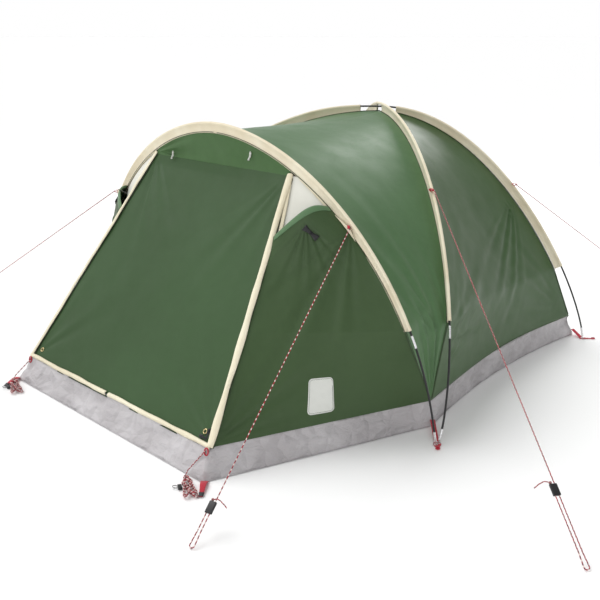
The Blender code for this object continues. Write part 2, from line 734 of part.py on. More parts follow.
build_pole("pole_a", POLE_A)
build_pole("pole_b", POLE_B)
build_pole("hoop", HOOP)
build_sleeve("sleeve_a", POLE_A, SLEEVE_END["main_front"], POLE_A.length - SLEEVE_END["main_rear"],
             False, crossing=HALF)
build_sleeve("sleeve_b_front", POLE_B, SLEEVE_END["main_front"], HALF - SLEEVE_GAP, False, level=PLAIN_B)
build_sleeve("sleeve_b_rear", POLE_B, HALF + SLEEVE_GAP, POLE_B.length - SLEEVE_END["main_rear"], False,
             level=PLAIN_B)
build_sleeve("sleeve_hoop", HOOP, SLEEVE_END["hoop"], HOOP.length - SLEEVE_END["hoop"], True)
build_fly(SEAMS)
build_porch_front()
for side_name, side_sign in (("right", 1), ("left", -1)):
    build_vent(side_name, side_sign)
    build_strut(side_name, side_sign)
    build_corner_cord(side_name, side_sign)
build_door()
build_zip_sliders()
build_skirt()
build_groundsheet()
build_inner_wall()
build_straps()
TENSIONER_MESH = tensioner_mesh()
for line_name, (line_start, line_end, line_grip) in LINES.items():
    build_line(line_name, line_start, line_end, line_grip, TENSIONER_MESH)
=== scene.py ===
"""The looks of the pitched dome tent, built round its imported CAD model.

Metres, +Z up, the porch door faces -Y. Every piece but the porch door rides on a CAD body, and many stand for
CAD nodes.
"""

import math

import bmesh
import bpy
import numpy as np
from mathutils import Matrix, Vector, noise


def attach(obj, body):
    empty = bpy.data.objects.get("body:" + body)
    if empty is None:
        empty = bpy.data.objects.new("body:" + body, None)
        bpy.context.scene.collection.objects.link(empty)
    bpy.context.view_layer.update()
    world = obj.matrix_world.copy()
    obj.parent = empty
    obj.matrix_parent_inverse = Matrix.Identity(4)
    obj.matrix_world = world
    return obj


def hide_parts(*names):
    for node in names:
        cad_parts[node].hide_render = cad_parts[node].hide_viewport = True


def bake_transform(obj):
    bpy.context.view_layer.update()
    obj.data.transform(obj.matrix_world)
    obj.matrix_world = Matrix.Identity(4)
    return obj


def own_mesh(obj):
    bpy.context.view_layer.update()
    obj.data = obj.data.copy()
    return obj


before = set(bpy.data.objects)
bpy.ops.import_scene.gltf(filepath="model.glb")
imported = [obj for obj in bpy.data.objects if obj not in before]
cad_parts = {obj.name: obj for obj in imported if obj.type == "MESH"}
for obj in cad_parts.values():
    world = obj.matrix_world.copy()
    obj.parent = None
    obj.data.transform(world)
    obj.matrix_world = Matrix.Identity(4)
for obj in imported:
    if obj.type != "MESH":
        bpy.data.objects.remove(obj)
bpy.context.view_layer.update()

# ---------------------------------------------------------------- the design's own dimensions
FRONT_FOOT = (1.085, -0.360)
REAR_FOOT = (0.893, 1.147)
APEX = Vector((0.0, 0.527, 1.183))
HOOP_TOP, HOOP_LEAN = 1.164, 0.167
SKIRT_HEIGHT = 0.105
FRONT_PLAN, FRONT_RISE, FRONT_BOW = 1.04, 1.246, 0.077
REAR_PLAN, REAR_RISE, REAR_BOW = 1.064, 1.543, 0.002
HOOP_PLAN, HOOP_RISE, HOOP_SIDE = 1.057, 0.97, 0.814
FOOT_SPREAD, TIP_Z, CROSS_DROP = 0.010, 0.012, 0.0145
POLE_RADIUS, TIP_RADIUS, FERRULE_RADIUS = 0.00425, 0.0052, 0.0050
TIP_LENGTH, FERRULE_LENGTH, SECTION = 0.050, 0.050, 0.430
RIB_DROP, NARROW = 0.037, 0.024
SLEEVE_END = {"main_front": 0.475, "main_rear": 0.398, "hoop": 0.475}
SLEEVE_GAP = (0.105, 0.075)
FRONT_CORNER = Vector((0.972, -0.243, 0.0))
REAR_CORNER = Vector((0.822, 1.168, 0.0))
PORCH_CORNER = Vector((0.676, -1.1988, 0.0))
FRONT_TOP = Vector((0.955, -0.235, SKIRT_HEIGHT))
REAR_TOP = Vector((0.806, 1.146, SKIRT_HEIGHT))
PORCH_TOP = Vector((0.645, -1.135, SKIRT_HEIGHT))
SIDE_BOW, REAR_EDGE_BOW = 0.065, 0.045
DOOR_TOP_HALF, DOOR_TOP_Z = 0.440, 1.000
VENT_FOOT = 0.620
HOODS = {"right": ((0.775, 0.893), 0.062), "left": ((0.750, 0.800), 0.040)}   # lip heights, and the swell
WALL_FOOT_Y, WALL_TOP_Y, WALL_TOP_Z = -0.215, 0.400, 1.060
INNER_DOOR_HALF, INNER_DOOR_HEIGHT, INNER_DOOR_FOOT = 0.300, 0.780, 0.130

# guy lines: where each leaves the tent, where it reaches the ground, and how far up its runner sits
CORD_RADIUS, LOOP_RADIUS, LINE_SPREAD = 0.002, 0.009, 0.0065
LINES = {
    "hoop_left": (Vector((-0.856, -0.500, 0.760)), Vector((-2.100, -0.760, 0.004)), 0.19),
    "hoop_right": (Vector((0.738, -0.512, 0.832)), Vector((0.973, -1.483, 0.004)), 0.13),
    "side_right": (Vector((0.706, 0.046, 0.898)), Vector((1.903, -0.709, 0.004)), 0.26),
    "rear_right": (Vector((0.574, 0.918, 0.798)), Vector((0.700, 2.340, 0.004)), 0.22),
}
HANKS = {
    "right": (Vector((0.675, -1.262, 0.013)), math.radians(60), 1),
    "left": (Vector((-0.585, -1.262, 0.013)), math.radians(68), -1),
}


# ---------------------------------------------------------------- helpers
def mix(a, b, share):
    return a + (b - a) * share


def mirrored(point):
    return Vector((-point[0], point[1], point[2]))


def same(point):
    return Vector(point)


def smooth(value):
    value = min(max(value, 0.0), 1.0)
    return value * value * (3 - 2 * value)


class Route:
    """A curve as closely spaced points, which can be read at any length along it."""

    def __init__(self, points):
        self.points = [Vector(p) for p in points]
        self.marks = [0.0]
        for a, b in zip(self.points, self.points[1:]):
            self.marks.append(self.marks[-1] + (b - a).length)
        self.length = self.marks[-1]

    def at(self, distance):
        distance = min(max(distance, 0.0), self.length)
        high = min(max(int(np.searchsorted(self.marks, distance, side="right")), 1), len(self.marks) - 1)
        span = self.marks[high] - self.marks[high - 1]
        share = (distance - self.marks[high - 1]) / span if span else 0.0
        return mix(self.points[high - 1], self.points[high], share)

    def tangent(self, distance):
        return (self.at(distance + 0.004) - self.at(distance - 0.004)).normalized()

    def share(self, part):
        return self.at(part * self.length)

    def at_height(self, height):
        for a, b in zip(self.points, self.points[1:]):
            if a.z <= height <= b.z:
                return mix(a, b, (height - a.z) / max(b.z - a.z, 1e-9))
        return self.points[-1].copy()


def link(piece, body, stands_for=()):
    """Puts a finished piece in the scene, on its body, and in place of the CAD nodes it stands for."""
    if piece.name not in bpy.context.scene.collection.objects:
        bpy.context.scene.collection.objects.link(piece)
    if piece.name.endswith(".001"):
        piece.name = piece.name[:-4] + "_made"
    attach(piece, body)
    if stands_for:
        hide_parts(*stands_for)
    return piece


def grid_mesh(name, grid, material, closed=False, capped=False):
    """A mesh from rows of points, with its UV map in metres: U along a row, V from row to row."""
    grid = np.asarray(grid, float)
    rows, columns = grid.shape[:2]
    steps = np.linalg.norm(np.diff(grid, axis=1, append=grid[:, :1]), axis=2)
    across = np.concatenate([np.zeros((rows, 1)), np.cumsum(steps, axis=1)], axis=1)
    along = np.concatenate([[0.0], np.cumsum(np.linalg.norm(np.diff(grid.mean(axis=1), axis=0), axis=1))])
    count = columns if closed else columns - 1
    faces, places = [], []
    for i in range(rows - 1):
        for j in range(count):
            k = (j + 1) % columns
            faces.append((i * columns + j, i * columns + k, (i + 1) * columns + k, (i + 1) * columns + j))
            places += [(across[i, j], along[i]), (across[i, j + 1], along[i]),
                       (across[i + 1, j + 1], along[i + 1]), (across[i + 1, j], along[i + 1])]
    if capped:
        last = (rows - 1) * columns
        faces += [tuple(range(columns))[::-1], tuple(range(last, last + columns))]
        places += [(0.0, 0.0)] * (2 * columns)
    mesh = bpy.data.meshes.new(name)
    mesh.from_pydata(grid.reshape(-1, 3).tolist(), [], faces)
    layer = mesh.uv_layers.new(name="UVMap")
    layer.data.foreach_set("uv", np.array(places, np.float32).ravel())
    mesh.shade_smooth()
    mesh.materials.append(material)
    if closed:
        shape = bmesh.new()
        shape.from_mesh(mesh)
        bmesh.ops.recalc_face_normals(shape, faces=shape.faces)
        shape.to_mesh(mesh)
        shape.free()
    return mesh


def cloth_piece(name, grid, material, body, stands_for=(), thickness=0.0008, held=None,
                flat=None):
    """A sheet of cloth through a grid of points."""
    piece = bpy.data.objects.new(name, grid_mesh(name, grid, material))
    bpy.context.scene.collection.objects.link(piece)
    solid = piece.modifiers.new("thickness", "SOLIDIFY")
    solid.thickness = thickness
    solid.offset = 0.0
    if body:
        link(piece, body, stands_for)
    if held:
        declare_sheet(grid, flat)
    return piece


def declare_sheet(grid, flat=None):
    """Works out how large the cloth was cut: its widest row by its mean height, or the given size; the result
    is not kept.
    """
    grid = np.asarray(grid, float)
    widths = np.linalg.norm(np.diff(grid, axis=1), axis=2).sum(axis=1)
    heights = np.linalg.norm(np.diff(grid, axis=0), axis=2).sum(axis=0)
    width, length = flat or (float(widths.max()), float(heights.mean()))
    one, two = grid[1:, 1:] - grid[:-1, :-1], grid[1:, :-1] - grid[:-1, 1:]
    area = float(0.5 * np.linalg.norm(np.cross(one, two), axis=2).sum())
    width = max(width, area / length)


def tube_grid(points, radius, sides=12):
    """Rings round a line of points, kept from twisting."""
    points = [Vector(p) for p in points]
    rings, side = [], None
    for i, point in enumerate(points):
        ahead = (points[min(i + 1, len(points) - 1)] - points[max(i - 1, 0)]).normalized()
        if side is None:
            side = ahead.orthogonal().normalized()
        side = (side - ahead * side.dot(ahead)).normalized()
        other = ahead.cross(side)
        size = radius(i / (len(points) - 1)) if callable(radius) else radius
        rings.append([point + (side * math.cos(a) + other * math.sin(a)) * size
                      for a in (2 * math.pi * k / sides for k in range(sides))])
    return rings


def tube_piece(name, points, radius, material, body, stands_for=(), sides=12):
    mesh = grid_mesh(name, tube_grid(points, radius, sides), material, closed=True, capped=True)
    return link(bpy.data.objects.new(name, mesh), body, stands_for)


def ring_piece(name, centre, normal, radius, thickness, material, body):
    """A small ring, such as an eyelet or a wire loop."""
    bpy.ops.mesh.primitive_torus_add(major_radius=radius, minor_radius=thickness, major_segments=28,
                                     minor_segments=10)
    piece = bpy.context.object
    piece.name = piece.data.name = name
    piece.data.shade_smooth()
    piece.data.materials.append(material)
    facing = Vector(normal).to_track_quat("Z", "Y").to_matrix().to_4x4()
    piece.data.transform(Matrix.Translation(centre) @ facing)
    return link(piece, body)


def frame_matrix(origin, x, y, z):
    return Matrix.Translation(origin) @ Matrix((x, y, z)).transposed().to_4x4()


def rounded_block(name, size, place, material, body, bevel, stands_for=(), holes=()):
    """A moulded block with rounded edges; holes are (matrix, radius) of round bores through it."""
    shape = bmesh.new()
    bmesh.ops.create_cube(shape, size=1.0, matrix=Matrix.Diagonal((*size, 1.0)))
    bmesh.ops.bevel(shape, geom=shape.edges[:] + shape.verts[:], offset=bevel, segments=3, profile=0.6,
                    affect="EDGES")
    mesh = bpy.data.meshes.new(name)
    shape.to_mesh(mesh)
    shape.free()
    piece = bpy.data.objects.new(name, mesh)
    bpy.context.scene.collection.objects.link(piece)
    for matrix, radius in holes:
        bpy.ops.mesh.primitive_cylinder_add(vertices=20, radius=radius, depth=0.2)
        cutter = bpy.context.object
        cutter.data.transform(matrix)
        cut = piece.modifiers.new("bore", "BOOLEAN")
        cut.object = cutter
        cut.operation = "DIFFERENCE"
        evaluated = piece.evaluated_get(bpy.context.evaluated_depsgraph_get())
        result = bpy.data.meshes.new_from_object(evaluated)
        piece.modifiers.clear()
        piece.data = result
        bpy.data.objects.remove(cutter)
    piece.data.name = name
    piece.data.transform(place)
    piece.data.shade_smooth()
    piece.data.set_sharp_from_angle(angle=math.radians(40))
    piece.data.materials.clear()
    piece.data.materials.append(material)
    return link(piece, body, stands_for)


# ---------------------------------------------------------------- materials
def linear(red, green, blue):
    """A colour given as 0-255 screen values, in the shader's linear values."""
    return tuple((c / 255 / 12.92) if c <= 10 else ((c / 255 + 0.055) / 1.055) ** 2.4
                 for c in (red, green, blue))


# a Mix node's sockets for colours
MIX_COLORS_IN, MIX_COLOR_OUT = (6, 7), 2


class Look:
    """A Principled material and short ways to add nodes to it."""

    def __init__(self, name, color, roughness, metallic=0.0, sheen=0.0, specular=0.5):
        self.material = bpy.data.materials.new(name)
        self.material.use_nodes = True
        self.tree = self.material.node_tree
        self.shader = self.tree.nodes["Principled BSDF"]
        self.shader.inputs["Base Color"].default_value = (*color, 1.0)
        self.shader.inputs["Roughness"].default_value = roughness
        self.shader.inputs["Metallic"].default_value = metallic
        self.shader.inputs["Sheen Weight"].default_value = sheen
        self.shader.inputs["Sheen Roughness"].default_value = 0.4
        self.shader.inputs["Specular IOR Level"].default_value = specular
        self.place = self.tree.nodes.new("ShaderNodeTexCoord")

    def put(self, target, value):
        if isinstance(value, bpy.types.NodeSocket):
            self.tree.links.new(value, target)
        elif hasattr(target.default_value, "__len__") and not hasattr(value, "__len__"):
            target.default_value = (value,) * len(target.default_value)
        else:
            target.default_value = value

    def math(self, kind, a, b=0.0):
        node = self.tree.nodes.new("ShaderNodeMath")
        node.operation = kind
        self.put(node.inputs[0], a)
        self.put(node.inputs[1], b)
        return node.outputs[0]

    def noise(self, scale, detail=3.0, roughness=0.5, stretch=None):
        where = self.place.outputs["Object"]
        if stretch:
            mapping = self.tree.nodes.new("ShaderNodeMapping")
            mapping.inputs["Scale"].default_value = stretch
            self.tree.links.new(where, mapping.inputs["Vector"])
            where = mapping.outputs["Vector"]
        node = self.tree.nodes.new("ShaderNodeTexNoise")
        self.tree.links.new(where, node.inputs["Vector"])
        self.put(node.inputs["Scale"], scale)
        self.put(node.inputs["Detail"], detail)
        self.put(node.inputs["Roughness"], roughness)
        return node.outputs["Fac"]

    def spread(self, value, low, high, to_low=0.0, to_high=1.0):
        node = self.tree.nodes.new("ShaderNodeMapRange")
        for socket, number in zip(node.inputs, (value, low, high, to_low, to_high)):
            self.put(socket, number)
        return node.outputs["Result"]

    def blend(self, factor, one, two):
        node = self.tree.nodes.new("ShaderNodeMix")
        node.data_type = "RGBA"
        self.put(node.inputs["Factor"], factor)
        for index, color in zip(MIX_COLORS_IN, (one, two)):
            self.put(node.inputs[index], color if isinstance(color, bpy.types.NodeSocket) else (*color, 1.0))
        return node.outputs[MIX_COLOR_OUT]

    def uv(self):
        node = self.tree.nodes.new("ShaderNodeSeparateXYZ")
        self.tree.links.new(self.place.outputs["UV"], node.inputs[0])
        return node.outputs["X"], node.outputs["Y"]

    def bump(self, height, strength, distance):
        node = self.tree.nodes.new("ShaderNodeBump")
        self.put(node.inputs["Height"], height)
        node.inputs["Strength"].default_value = strength
        node.inputs["Distance"].default_value = distance
        normal = self.shader.inputs["Normal"]
        if normal.links:
            self.tree.links.new(normal.links[0].from_socket, node.inputs["Normal"])
        self.tree.links.new(node.outputs["Normal"], normal)

    def color(self, value):
        self.put(self.shader.inputs["Base Color"], value)

    def roughness(self, value):
        self.put(self.shader.inputs["Roughness"], value)


def woven(look, thread, strength):
    """Over-and-under threads, one thread wide in metres on the cloth."""
    u, v = look.uv()
    warp = look.math("SINE", look.math("MULTIPLY", u, 2 * math.pi / thread))
    weft = look.math("SINE", look.math("MULTIPLY", v, 2 * math.pi / thread))
    look.bump(look.math("MULTIPLY", warp, weft), strength, 0.00012)


def cloth_look(name, color, dark, roughness, crease=0.25, sheen=0.05, thread=0.0009, crease_scale=7.0,
               crease_depth=0.006):
    """Coated polyester: a slightly uneven dye, fine creases and a tight weave."""
    look = Look(name, color, roughness, sheen=sheen, specular=0.32)
    cloud = look.noise(1.6, 3.0)
    mottle = look.noise(34.0, 2.0)
    tone = look.math("ADD", look.math("MULTIPLY", cloud, 0.75), look.math("MULTIPLY", mottle, 0.25))
    look.color(look.blend(look.spread(tone, 0.36, 0.66), dark, color))
    look.roughness(look.spread(look.noise(11.0), 0.3, 0.7, roughness - 0.05, roughness + 0.06))
    look.bump(look.noise(crease_scale, 4.0, 0.45, (1.0, 1.0, 0.45)), crease, crease_depth)
    look.bump(look.noise(60.0, 3.0, 0.6), 0.10, 0.0010)
    woven(look, thread, 0.12)
    return look.material


def crumpled_look(name, color, dark):
    """Skirt cloth: stiffer, with sharp creases."""
    look = Look(name, color, 0.48, sheen=0.05, specular=0.45)
    look.color(look.blend(look.spread(look.noise(5.0, 4.0), 0.35, 0.7), dark, color))
    cells = look.tree.nodes.new("ShaderNodeTexVoronoi")
    cells.feature = "DISTANCE_TO_EDGE"
    look.tree.links.new(look.place.outputs["Object"], cells.inputs["Vector"])
    cells.inputs["Scale"].default_value = 13.0
    look.bump(look.spread(cells.outputs["Distance"], 0.0, 0.35), 0.8, 0.010)
    look.bump(look.noise(20.0, 5.0, 0.6, (1.0, 1.0, 2.0)), 0.8, 0.012)
    woven(look, 0.0012, 0.10)
    return look.material


def sleeve_look(name, color, dark):
    """Cream cloth with a row of stitches down the tunnel."""
    look = Look(name, color, 0.62, sheen=0.2, specular=0.35)
    tone = look.spread(look.noise(9.0, 4.0), 0.35, 0.7)
    base = look.blend(tone, dark, color)
    u, v = look.uv()
    dash = look.math("LESS_THAN", look.math("FRACT", look.math("DIVIDE", v, 0.0045)), 0.62)
    row = look.math("LESS_THAN", look.math("ABSOLUTE", look.math("SUBTRACT", u, 0.0115)), 0.0006)
    stitch = look.math("MULTIPLY", dash, row)
    look.color(look.blend(stitch, base, linear(190, 176, 140)))
    look.bump(look.noise(24.0, 3.0, 0.5, (1.0, 1.0, 1.0)), 0.22, 0.003)
    woven(look, 0.0010, 0.12)
    return look.material


def webbing_look(name, color, dark):
    look = Look(name, color, 0.72, sheen=0.3, specular=0.3)
    u, v = look.uv()
    rib = look.math("SINE", look.math("MULTIPLY", v, 2 * math.pi / 0.0022))
    cross = look.math("SINE", look.math("MULTIPLY", u, 2 * math.pi / 0.0030))
    weave = look.math("MULTIPLY", rib, cross)
    look.color(look.blend(look.spread(weave, -1.0, 1.0, 0.25, 0.85), dark, color))
    look.bump(weave, 0.6, 0.0005)
    return look.material


def rope_look(name, color, fleck, dark):
    """A braided line: two strands of flecks that wind round it."""
    look = Look(name, color, 0.7, sheen=0.25, specular=0.3)
    u, v = look.uv()
    turn = look.math("DIVIDE", u, 2 * math.pi * CORD_RADIUS)
    one = look.math("FRACT", look.math("ADD", look.math("DIVIDE", v, 0.019), turn))
    two = look.math("FRACT", look.math("SUBTRACT", look.math("DIVIDE", v, 0.019), turn))
    light = look.math("MULTIPLY", look.math("LESS_THAN", one, 0.50), look.math("LESS_THAN", two, 0.55))
    shade = look.spread(look.noise(160.0, 2.0), 0.3, 0.7)
    look.color(look.blend(light, look.blend(shade, dark, color), fleck))
    braid = look.math("SINE", look.math("ADD", look.math("MULTIPLY", v, 2 * math.pi / 0.003),
                                        look.math("MULTIPLY", turn, 4 * math.pi)))
    look.bump(braid, 0.7, 0.0004)
    return look.material


def moulded_look(name, color, roughness):
    look = Look(name, color, roughness, specular=0.45)
    look.color(look.blend(look.spread(look.noise(40.0), 0.3, 0.7), tuple(c * 0.7 for c in color), color))
    look.bump(look.noise(420.0, 2.0), 0.12, 0.0004)
    return look.material


def rod_look(name):
    """Wound glass fibre rod: black, satin, with faint rings of the winding."""
    look = Look(name, linear(22, 22, 24), 0.33, specular=0.5)
    v = look.uv()[1]
    look.roughness(look.spread(look.noise(30.0), 0.3, 0.7, 0.28, 0.42))
    look.bump(look.math("SINE", look.math("MULTIPLY", v, 2 * math.pi / 0.006)), 0.12, 0.0002)
    return look.material


def metal_look(name, color, roughness):
    look = Look(name, color, roughness, metallic=1.0)
    look.roughness(look.spread(look.noise(90.0, 3.0, 0.6, (1.0, 1.0, 9.0)), 0.3, 0.7, roughness - 0.08,
                               roughness + 0.12))
    look.bump(look.noise(300.0, 2.0), 0.06, 0.0003)
    return look.material


def mesh_look(name, color, dark):
    """Fine netting over a lining."""
    look = Look(name, color, 0.8, sheen=0.2, specular=0.2)
    u, v = look.uv()
    hole_u = look.math("ABSOLUTE", look.math("SINE", look.math("MULTIPLY", u, math.pi / 0.0016)))
    hole_v = look.math("ABSOLUTE", look.math("SINE", look.math("MULTIPLY", v, math.pi / 0.0016)))
    net = look.math("MULTIPLY", hole_u, hole_v)
    cloud = look.spread(look.noise(6.0, 3.0), 0.3, 0.75)
    look.color(look.blend(look.math("MULTIPLY", net, 0.35), look.blend(cloud, dark, color), dark))
    look.bump(look.noise(9.0, 3.0, 0.5), 0.25, 0.005)
    look.bump(net, 0.25, 0.0002)
    return look.material


LOOKS = {
    # The fly, porch roof, door, brow, porch sides and hoods are one green cloth. Their base colours are lit
    # and shaded copies of it: painted light on the roof and brow, painted shade on the fly sides, door, porch
    # sides and hoods.
    "fly": cloth_look("fly_cloth", linear(60, 90, 48), linear(54, 83, 42), 0.42),
    "roof": cloth_look("roof_cloth", linear(84, 118, 78), linear(75, 108, 69), 0.42),
    "door": cloth_look("door_cloth", linear(55, 83, 47), linear(51, 76, 42), 0.58, crease=0.18),
    "brow": cloth_look("brow_cloth", linear(73, 107, 62), linear(67, 98, 56), 0.58, crease=0.18),
    "side": cloth_look("porch_cloth", linear(62, 85, 50), linear(55, 77, 44), 0.52, crease=0.22),
    # The hood's hem is the same green cloth, made lighter as painted light where its rolled edge catches the
    # light.
    "lip": cloth_look("lip_cloth", linear(98, 131, 94), linear(88, 120, 84), 0.5, crease=0.2),
    "cream": sleeve_look("sleeve_cloth", linear(238, 230, 206), linear(226, 214, 186)),
    "tape": cloth_look("tape_cloth", linear(238, 232, 208), linear(226, 216, 188), 0.66, crease=0.3,
                       crease_scale=18.0, crease_depth=0.004),
    "vent": mesh_look("vent_cloth", linear(234, 234, 226), linear(218, 217, 206)),
    "skirt": crumpled_look("skirt_cloth", linear(198, 195, 197), linear(176, 172, 174)),
    "floor": crumpled_look("groundsheet_cloth", linear(150, 148, 150), linear(128, 126, 128)),
    "inner": cloth_look("lining_cloth", linear(222, 216, 198), linear(208, 200, 180), 0.8, crease=0.2),
    "webbing": webbing_look("red_webbing", linear(214, 38, 62), linear(150, 18, 38)),
    "rope": rope_look("guy_cord", linear(186, 40, 58), linear(236, 214, 208), linear(84, 18, 30)),
    "plastic": moulded_look("black_nylon", linear(30, 31, 33), 0.42),
    "pale": moulded_look("white_nylon", linear(232, 232, 226), 0.40),
    "rod": rod_look("glass_fibre_rod"),
    "steel": metal_look("bright_steel", (0.80, 0.80, 0.81), 0.26),
    "wire": metal_look("dark_wire", (0.22, 0.22, 0.23), 0.4),
    "brass": metal_look("brass", (0.78, 0.62, 0.33), 0.30),
    "patch": cloth_look("plain_patch", linear(222, 224, 218), linear(208, 210, 204), 0.6, crease=0.1),
    # Dark olive for zip tapes, stitching and the beads along the sleeve seams; on the beads and on the bottom
    # zip's strip below its flaps it is partly painted shade.
    "piping": cloth_look("dark_piping", linear(58, 74, 48), linear(50, 64, 42), 0.6, crease=0.1),
}


# ---------------------------------------------------------------- camera, floor and lights
def build_studio():
    azimuth, pitch = 0.7894, 0.3077
    ahead = Vector((-math.sin(azimuth) * math.cos(pitch), math.cos(azimuth) * math.cos(pitch),
                    -math.sin(pitch)))
    camera_data = bpy.data.cameras.new("camera")
    camera_data.sensor_width = 36.0
    camera_data.lens = 52.43
    camera_data.clip_end = 100.0
    camera = bpy.data.objects.new("camera", camera_data)
    camera.location = (2.8947, -2.909, 1.5699)
    camera.rotation_euler = ahead.to_track_quat("-Z", "Y").to_euler()
    bpy.context.scene.collection.objects.link(camera)
    bpy.context.scene.camera = camera

    bpy.ops.mesh.primitive_plane_add(size=240.0, location=(0.0, 0.0, -0.0012))
    floor = bpy.context.object
    floor.name = "studio_floor"
    floor.data.materials.append(Look("studio_floor", (0.95, 0.95, 0.95), 0.9, specular=0.1).material)

    # the sky is white along the horizon and dimmer above it, so the light stays soft but has a direction
    world = bpy.data.worlds.new("studio")
    world.use_nodes = True
    tree = world.node_tree
    where, split = tree.nodes.new("ShaderNodeTexCoord"), tree.nodes.new("ShaderNodeSeparateXYZ")
    climb = tree.nodes.new("ShaderNodeMapRange")
    climb.inputs["From Min"].default_value, climb.inputs["From Max"].default_value = 0.04, 0.30
    climb.inputs["To Min"].default_value, climb.inputs["To Max"].default_value = 1.0, 0.52
    tree.links.new(where.outputs["Generated"], split.inputs[0])
    tree.links.new(split.outputs["Z"], climb.inputs["Value"])
    tree.links.new(climb.outputs["Result"], tree.nodes["Background"].inputs["Strength"])
    tree.nodes["Background"].inputs["Color"].default_value = (1.0, 1.0, 1.0, 1.0)
    bpy.context.scene.world = world
    bpy.context.scene.view_settings.view_transform = "Standard"

    sky = bpy.data.lights.new("overhead_light", "SUN")
    sky.energy = 1.95
    sky.angle = math.radians(45)
    lamp = bpy.data.objects.new("overhead_light", sky)
    lamp.rotation_euler = Vector((0.60, 0.15, -1.0)).to_track_quat("-Z", "Y").to_euler()
    bpy.context.scene.collection.objects.link(lamp)

    target = Vector((0.0, 0.1, 0.5))
    for name, place, size, power in (("rear_softbox", (-1.7, 4.9, 3.3), 2.0, 75.0),
                                     ("front_softbox", (1.8, -5.2, 2.2), 3.0, 44.0)):
        data = bpy.data.lights.new(name, "AREA")
        data.shape = "SQUARE"
        data.size = size
        data.energy = power
        lamp = bpy.data.objects.new(name, data)
        lamp.location = place
        lamp.rotation_euler = (target - Vector(place)).to_track_quat("-Z", "Y").to_euler()
        bpy.context.scene.collection.objects.link(lamp)


# ---------------------------------------------------------------- the poles' centre lines and the seams
def arch(t, foot, plan, rise, bow, drop):
    """A point of one half of a main pole; t runs from 0 at its foot to pi / 2 at the apex."""
    across = Vector(foot) - APEX.xy
    side = Vector((-across.y, across.x)).normalized()
    if side.y < 0:
        side = -side
    xy = APEX.xy + across * math.cos(t) ** plan
    xy = xy + side * bow * math.sin(math.pi * (1 - t / (math.pi / 2)))
    z = APEX.z * math.sin(t) ** rise + TIP_Z * (1 - math.sin(t))
    z -= drop * math.exp(-((xy - APEX.xy).length / 0.22) ** 2)
    return Vector((xy.x, xy.y, z))


def main_pole(side, drop):
    steps = [math.pi / 2 * i / 240 for i in range(241)]
    front_foot = (FRONT_FOOT[0] * side, FRONT_FOOT[1] + FOOT_SPREAD)
    rear_foot = (-REAR_FOOT[0] * side, REAR_FOOT[1])
    front = [arch(t, front_foot, FRONT_PLAN, FRONT_RISE, FRONT_BOW, drop) for t in steps]
    rear = [arch(t, rear_foot, REAR_PLAN, REAR_RISE, REAR_BOW, drop) for t in steps]
    return Route(front + rear[-2::-1])


def hoop_pole():
    points = []
    for i in range(481):
        t = math.pi * i / 480
        across = math.copysign(abs(math.cos(t)) ** HOOP_PLAN, math.cos(t))
        rise = max(math.sin(t), 0.0)
        y = FRONT_FOOT[1] - FOOT_SPREAD - HOOP_LEAN * rise ** HOOP_SIDE
        points.append(Vector((FRONT_FOOT[0] * across, y, HOOP_TOP * rise ** HOOP_RISE + TIP_Z * (1 - rise))))
    return Route(points)


def outward(point, tangent, over_hoop):
    centre = Vector((0.0, point.y if over_hoop else APEX.y, 0.22))
    away = point - centre
    return (away - tangent * away.dot(tangent)).normalized()


def rib_drop(distance, length, narrow):
    """How far the fabric hangs below a pole: less near the front feet than over the top."""
    from_end = min(distance, length - distance)
    return mix(narrow, RIB_DROP, smooth((from_end - 0.45) / 0.85))


def seam_line(route, sleeve_end, corner_top, over_hoop, half_length, narrow=RIB_DROP):
    """The fabric's seam under half a pole: straight up from the corner, then along under the sleeve."""
    points = []
    for i in range(161):
        distance = mix(sleeve_end, half_length, i / 160)
        point, tangent = route.at(distance), route.tangent(distance)
        drop = rib_drop(distance, route.length, narrow)
        points.append(point - outward(point, tangent, over_hoop) * drop)
    climb = [mix(corner_top, points[0], i / 20) for i in range(20)]
    return Route(climb + points)


POLE_A = main_pole(1, 0.0)
POLE_B = main_pole(-1, CROSS_DROP)
PLAIN_B = main_pole(-1, 0.0)
HOOP = hoop_pole()
HALF = next(m for p, m in zip(POLE_A.points, POLE_A.marks) if p.x <= 0)
REAR_HALF = POLE_A.length - HALF
SEAMS = {
    "front_right": seam_line(POLE_A, SLEEVE_END["main_front"], FRONT_TOP, False, HALF, NARROW),
    "front_left": seam_line(PLAIN_B, SLEEVE_END["main_front"], mirrored(FRONT_TOP), False, HALF,
                            NARROW),
    "rear_right": seam_line(Route(PLAIN_B.points[::-1]), SLEEVE_END["main_rear"], REAR_TOP, False, REAR_HALF),
    "rear_left": seam_line(Route(POLE_A.points[::-1]), SLEEVE_END["main_rear"], mirrored(REAR_TOP), False,
                           REAR_HALF),
    "hoop_right": seam_line(HOOP, SLEEVE_END["hoop"], FRONT_TOP, True, HOOP.length / 2, NARROW),
    "hoop_left": seam_line(Route(HOOP.points[::-1]), SLEEVE_END["hoop"], mirrored(FRONT_TOP), True,
                           HOOP.length / 2, NARROW),
}


# ---------------------------------------------------------------- folds in the cloth
def normals_of(grid):
    grid = np.asarray(grid, float)
    normal = np.cross(np.gradient(grid, axis=1), np.gradient(grid, axis=0))
    size = np.linalg.norm(normal, axis=2, keepdims=True)
    normal = normal / np.maximum(size, 1e-9)
    away = grid - np.array([0.0, 0.3, 0.2])
    flip = np.sign((normal * away).sum(axis=2, keepdims=True).mean()) or 1.0
    return normal * flip


